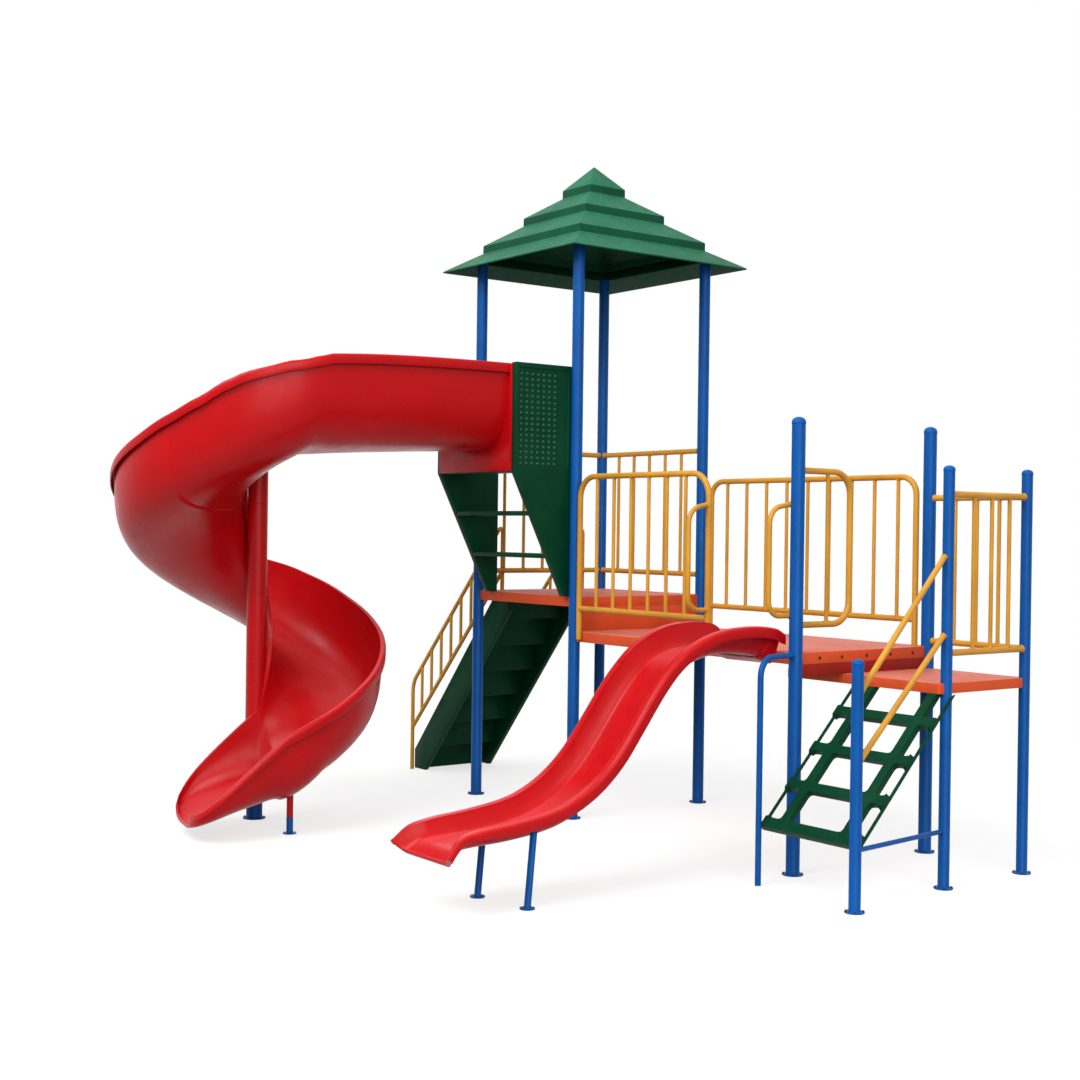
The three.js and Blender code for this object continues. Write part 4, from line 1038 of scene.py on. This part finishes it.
PIPE_X, PIPE_Y, PIPE_TOP, PIPE_R, PIPE_BEND = 1709, -285, 1004, 13.8, 85
pipe_end = Vector((ENTRY_X, 0, PIPE_TOP))
pipe_end += (Vector((PIPE_X, PIPE_Y, PIPE_TOP)) - pipe_end).normalized() * (POST_R + POST_GAP)
rail_piece("ladder_side_pipe_tube", [
    bent([(PIPE_X, PIPE_Y, 0), (PIPE_X, PIPE_Y, PIPE_TOP), pipe_end], PIPE_BEND)], [],
    ("ladder_side_pipe",), blue_paint, rail=PIPE_R)

# Raised dots and bolts

DOT_COLUMNS, DOT_ROWS, DOT_R, DOT_HEIGHT = 7, 17, 9.5, 5.5
DOT_FIRST_Y, DOT_PITCH_Y, DOT_TOP, DOT_PITCH_Z = -346, 37.5, 2387, 29.7
PANEL_FACES = (("right", -38.4, 1), ("left", -778.7, -1))
for side, face, sense in PANEL_FACES:
    dots = Shape()
    for column in range(DOT_COLUMNS):
        for row in range(DOT_ROWS):
            centre = (face, DOT_FIRST_Y + DOT_PITCH_Y * column, DOT_TOP - DOT_PITCH_Z * row)
            dots.dome(centre, (sense, 0, 0), DOT_R, DOT_HEIGHT)
    piece(f"climb_panel_{side}_dots", dots, highlighted_dot_plastic, angle=60)

DECK_BOLT_LEVEL, DECK_BOLT_PLACES = 985, (150, 300, 470, 640, 800)
DECK_BOLT = {"radius": 5.5, "height": 3, "washer": 8, "washer_height": 1}
deck_bolts = Shape()
for y in DECK_BOLT_PLACES:
    deck_bolts.bolt((ENTRY_X + DECK_LIP + FACE_GAP, y, DECK_BOLT_LEVEL), (1, 0, 0), **DECK_BOLT)
piece("middle_deck_bolts", deck_bolts, bolt_steel)

# Camera at the photograph's angle

CAMERA_PLACE = (6605, -5150, 1557)
CAMERA_FOCAL, PHOTO_WIDTH = 1547.67, 1080
SENSOR = 36
YAW, PITCH, ROLL = (math.radians(a) for a in (53.3667, -0.3593, 0.7584))

ahead = Vector((-math.sin(YAW) * math.cos(PITCH), math.cos(YAW) * math.cos(PITCH),
                math.sin(PITCH)))
level_right = Vector((math.cos(YAW), math.sin(YAW), 0))
above = level_right.cross(ahead)
camera_right = level_right * math.cos(ROLL) + above * math.sin(ROLL)
camera_up = above * math.cos(ROLL) - level_right * math.sin(ROLL)
camera_data = bpy.data.cameras.new("view")
camera_data.sensor_width = SENSOR
camera_data.lens = SENSOR * CAMERA_FOCAL / PHOTO_WIDTH
camera_data.clip_end = 100
camera = bpy.data.objects.new("view", camera_data)
bpy.context.scene.collection.objects.link(camera)
facing = Matrix((camera_right, camera_up, -ahead)).transposed().to_4x4()
camera.matrix_world = Matrix.Translation(Vector(CAMERA_PLACE) * METRE) @ facing
bpy.context.scene.camera = camera

# Floor, lights and background, with places in metres

FLOOR_REACH = 30
FLOOR_SHOWN, FLOOR_FADE_START, FLOOR_FADE_END = 0.32, 3.5, 8


def pale_floor():
    """A pale floor that takes the object's shadow and fades out with distance."""
    mesh = bpy.data.meshes.new("floor")
    corners = [(-1, -1), (1, -1), (1, 1), (-1, 1)]
    mesh.from_pydata([(x * FLOOR_REACH, y * FLOOR_REACH, 0) for x, y in corners], [],
                     [(0, 1, 2, 3)])
    obj = bpy.data.objects.new("floor", mesh)
    bpy.context.scene.collection.objects.link(obj)
    paint, tree, shader = node_tree("pale_floor")
    where = place_in(tree)
    tree.links.new(ramp(tree, noise(tree, where, 0.7, 3), [
        (0.3, shade(WHITE, 0.93)), (0.7, shade(WHITE, 0.95))]), shader.inputs["Base Color"])
    shader.inputs["Roughness"].default_value = 0.9
    shader.inputs["Specular IOR Level"].default_value = 0
    distance = tree.nodes.new("ShaderNodeVectorMath")
    distance.operation = "LENGTH"
    tree.links.new(where, distance.inputs[0])
    tree.links.new(spread(tree, distance.outputs["Value"], FLOOR_SHOWN, 0, FLOOR_FADE_START,
                          FLOOR_FADE_END), shader.inputs["Alpha"])
    mesh.materials.append(paint)


def area_light(name, place, power, size=6, target=(0, 0, 1.2)):
    lamp = bpy.data.lights.new(name, "AREA")
    lamp.shape = "SQUARE"
    lamp.size = size
    lamp.energy = power
    obj = bpy.data.objects.new(name, lamp)
    bpy.context.scene.collection.objects.link(obj)
    obj.location = place
    obj.rotation_euler = (Vector(target) - Vector(place)).to_track_quat("-Z", "Y").to_euler()


# How bright the studio is, from straight below to straight above
STUDIO_SHARES = [(0, 0.06), (0.48, 0.1), (0.53, 0.42), (0.72, 0.8), (1, 1)]
STUDIO_STRENGTH = 1.05


def studio_world():
    """Soft light from above, and a white background for camera, gloss and clear rays."""
    world = bpy.data.worlds.new("studio")
    bpy.context.scene.world = world
    world.use_nodes = True
    tree = world.node_tree
    tree.nodes.clear()
    output = tree.nodes.new("ShaderNodeOutputWorld")
    chosen = tree.nodes.new("ShaderNodeMixShader")
    lit = tree.nodes.new("ShaderNodeBackground")
    shown = tree.nodes.new("ShaderNodeBackground")
    direction = tree.nodes.new("ShaderNodeTexCoord").outputs["Generated"]
    height = spread(tree, height_of(tree, direction), 0, 1, -1, 1)
    tree.links.new(ramp(tree, height, [(place, shade(WHITE, share))
                                       for place, share in STUDIO_SHARES]), lit.inputs["Color"])
    lit.inputs["Strength"].default_value = STUDIO_STRENGTH
    shown.inputs["Color"].default_value = (*WHITE, 1)
    shown.inputs["Strength"].default_value = 1
    rays = tree.nodes.new("ShaderNodeLightPath")
    seen = math_node(tree, "MAXIMUM", rays.outputs["Is Camera Ray"],
                     rays.outputs["Is Glossy Ray"])
    seen = math_node(tree, "MAXIMUM", seen, rays.outputs["Is Transmission Ray"])
    tree.links.new(seen, chosen.inputs[0])
    tree.links.new(lit.outputs[0], chosen.inputs[1])
    tree.links.new(shown.outputs[0], chosen.inputs[2])
    tree.links.new(chosen.outputs[0], output.inputs["Surface"])


pale_floor()
area_light("key", (1.5, -7, 8), 860)
area_light("fill", (8, -3.5, 4), 430)
studio_world()

bpy.context.scene.view_settings.view_transform = "Standard"
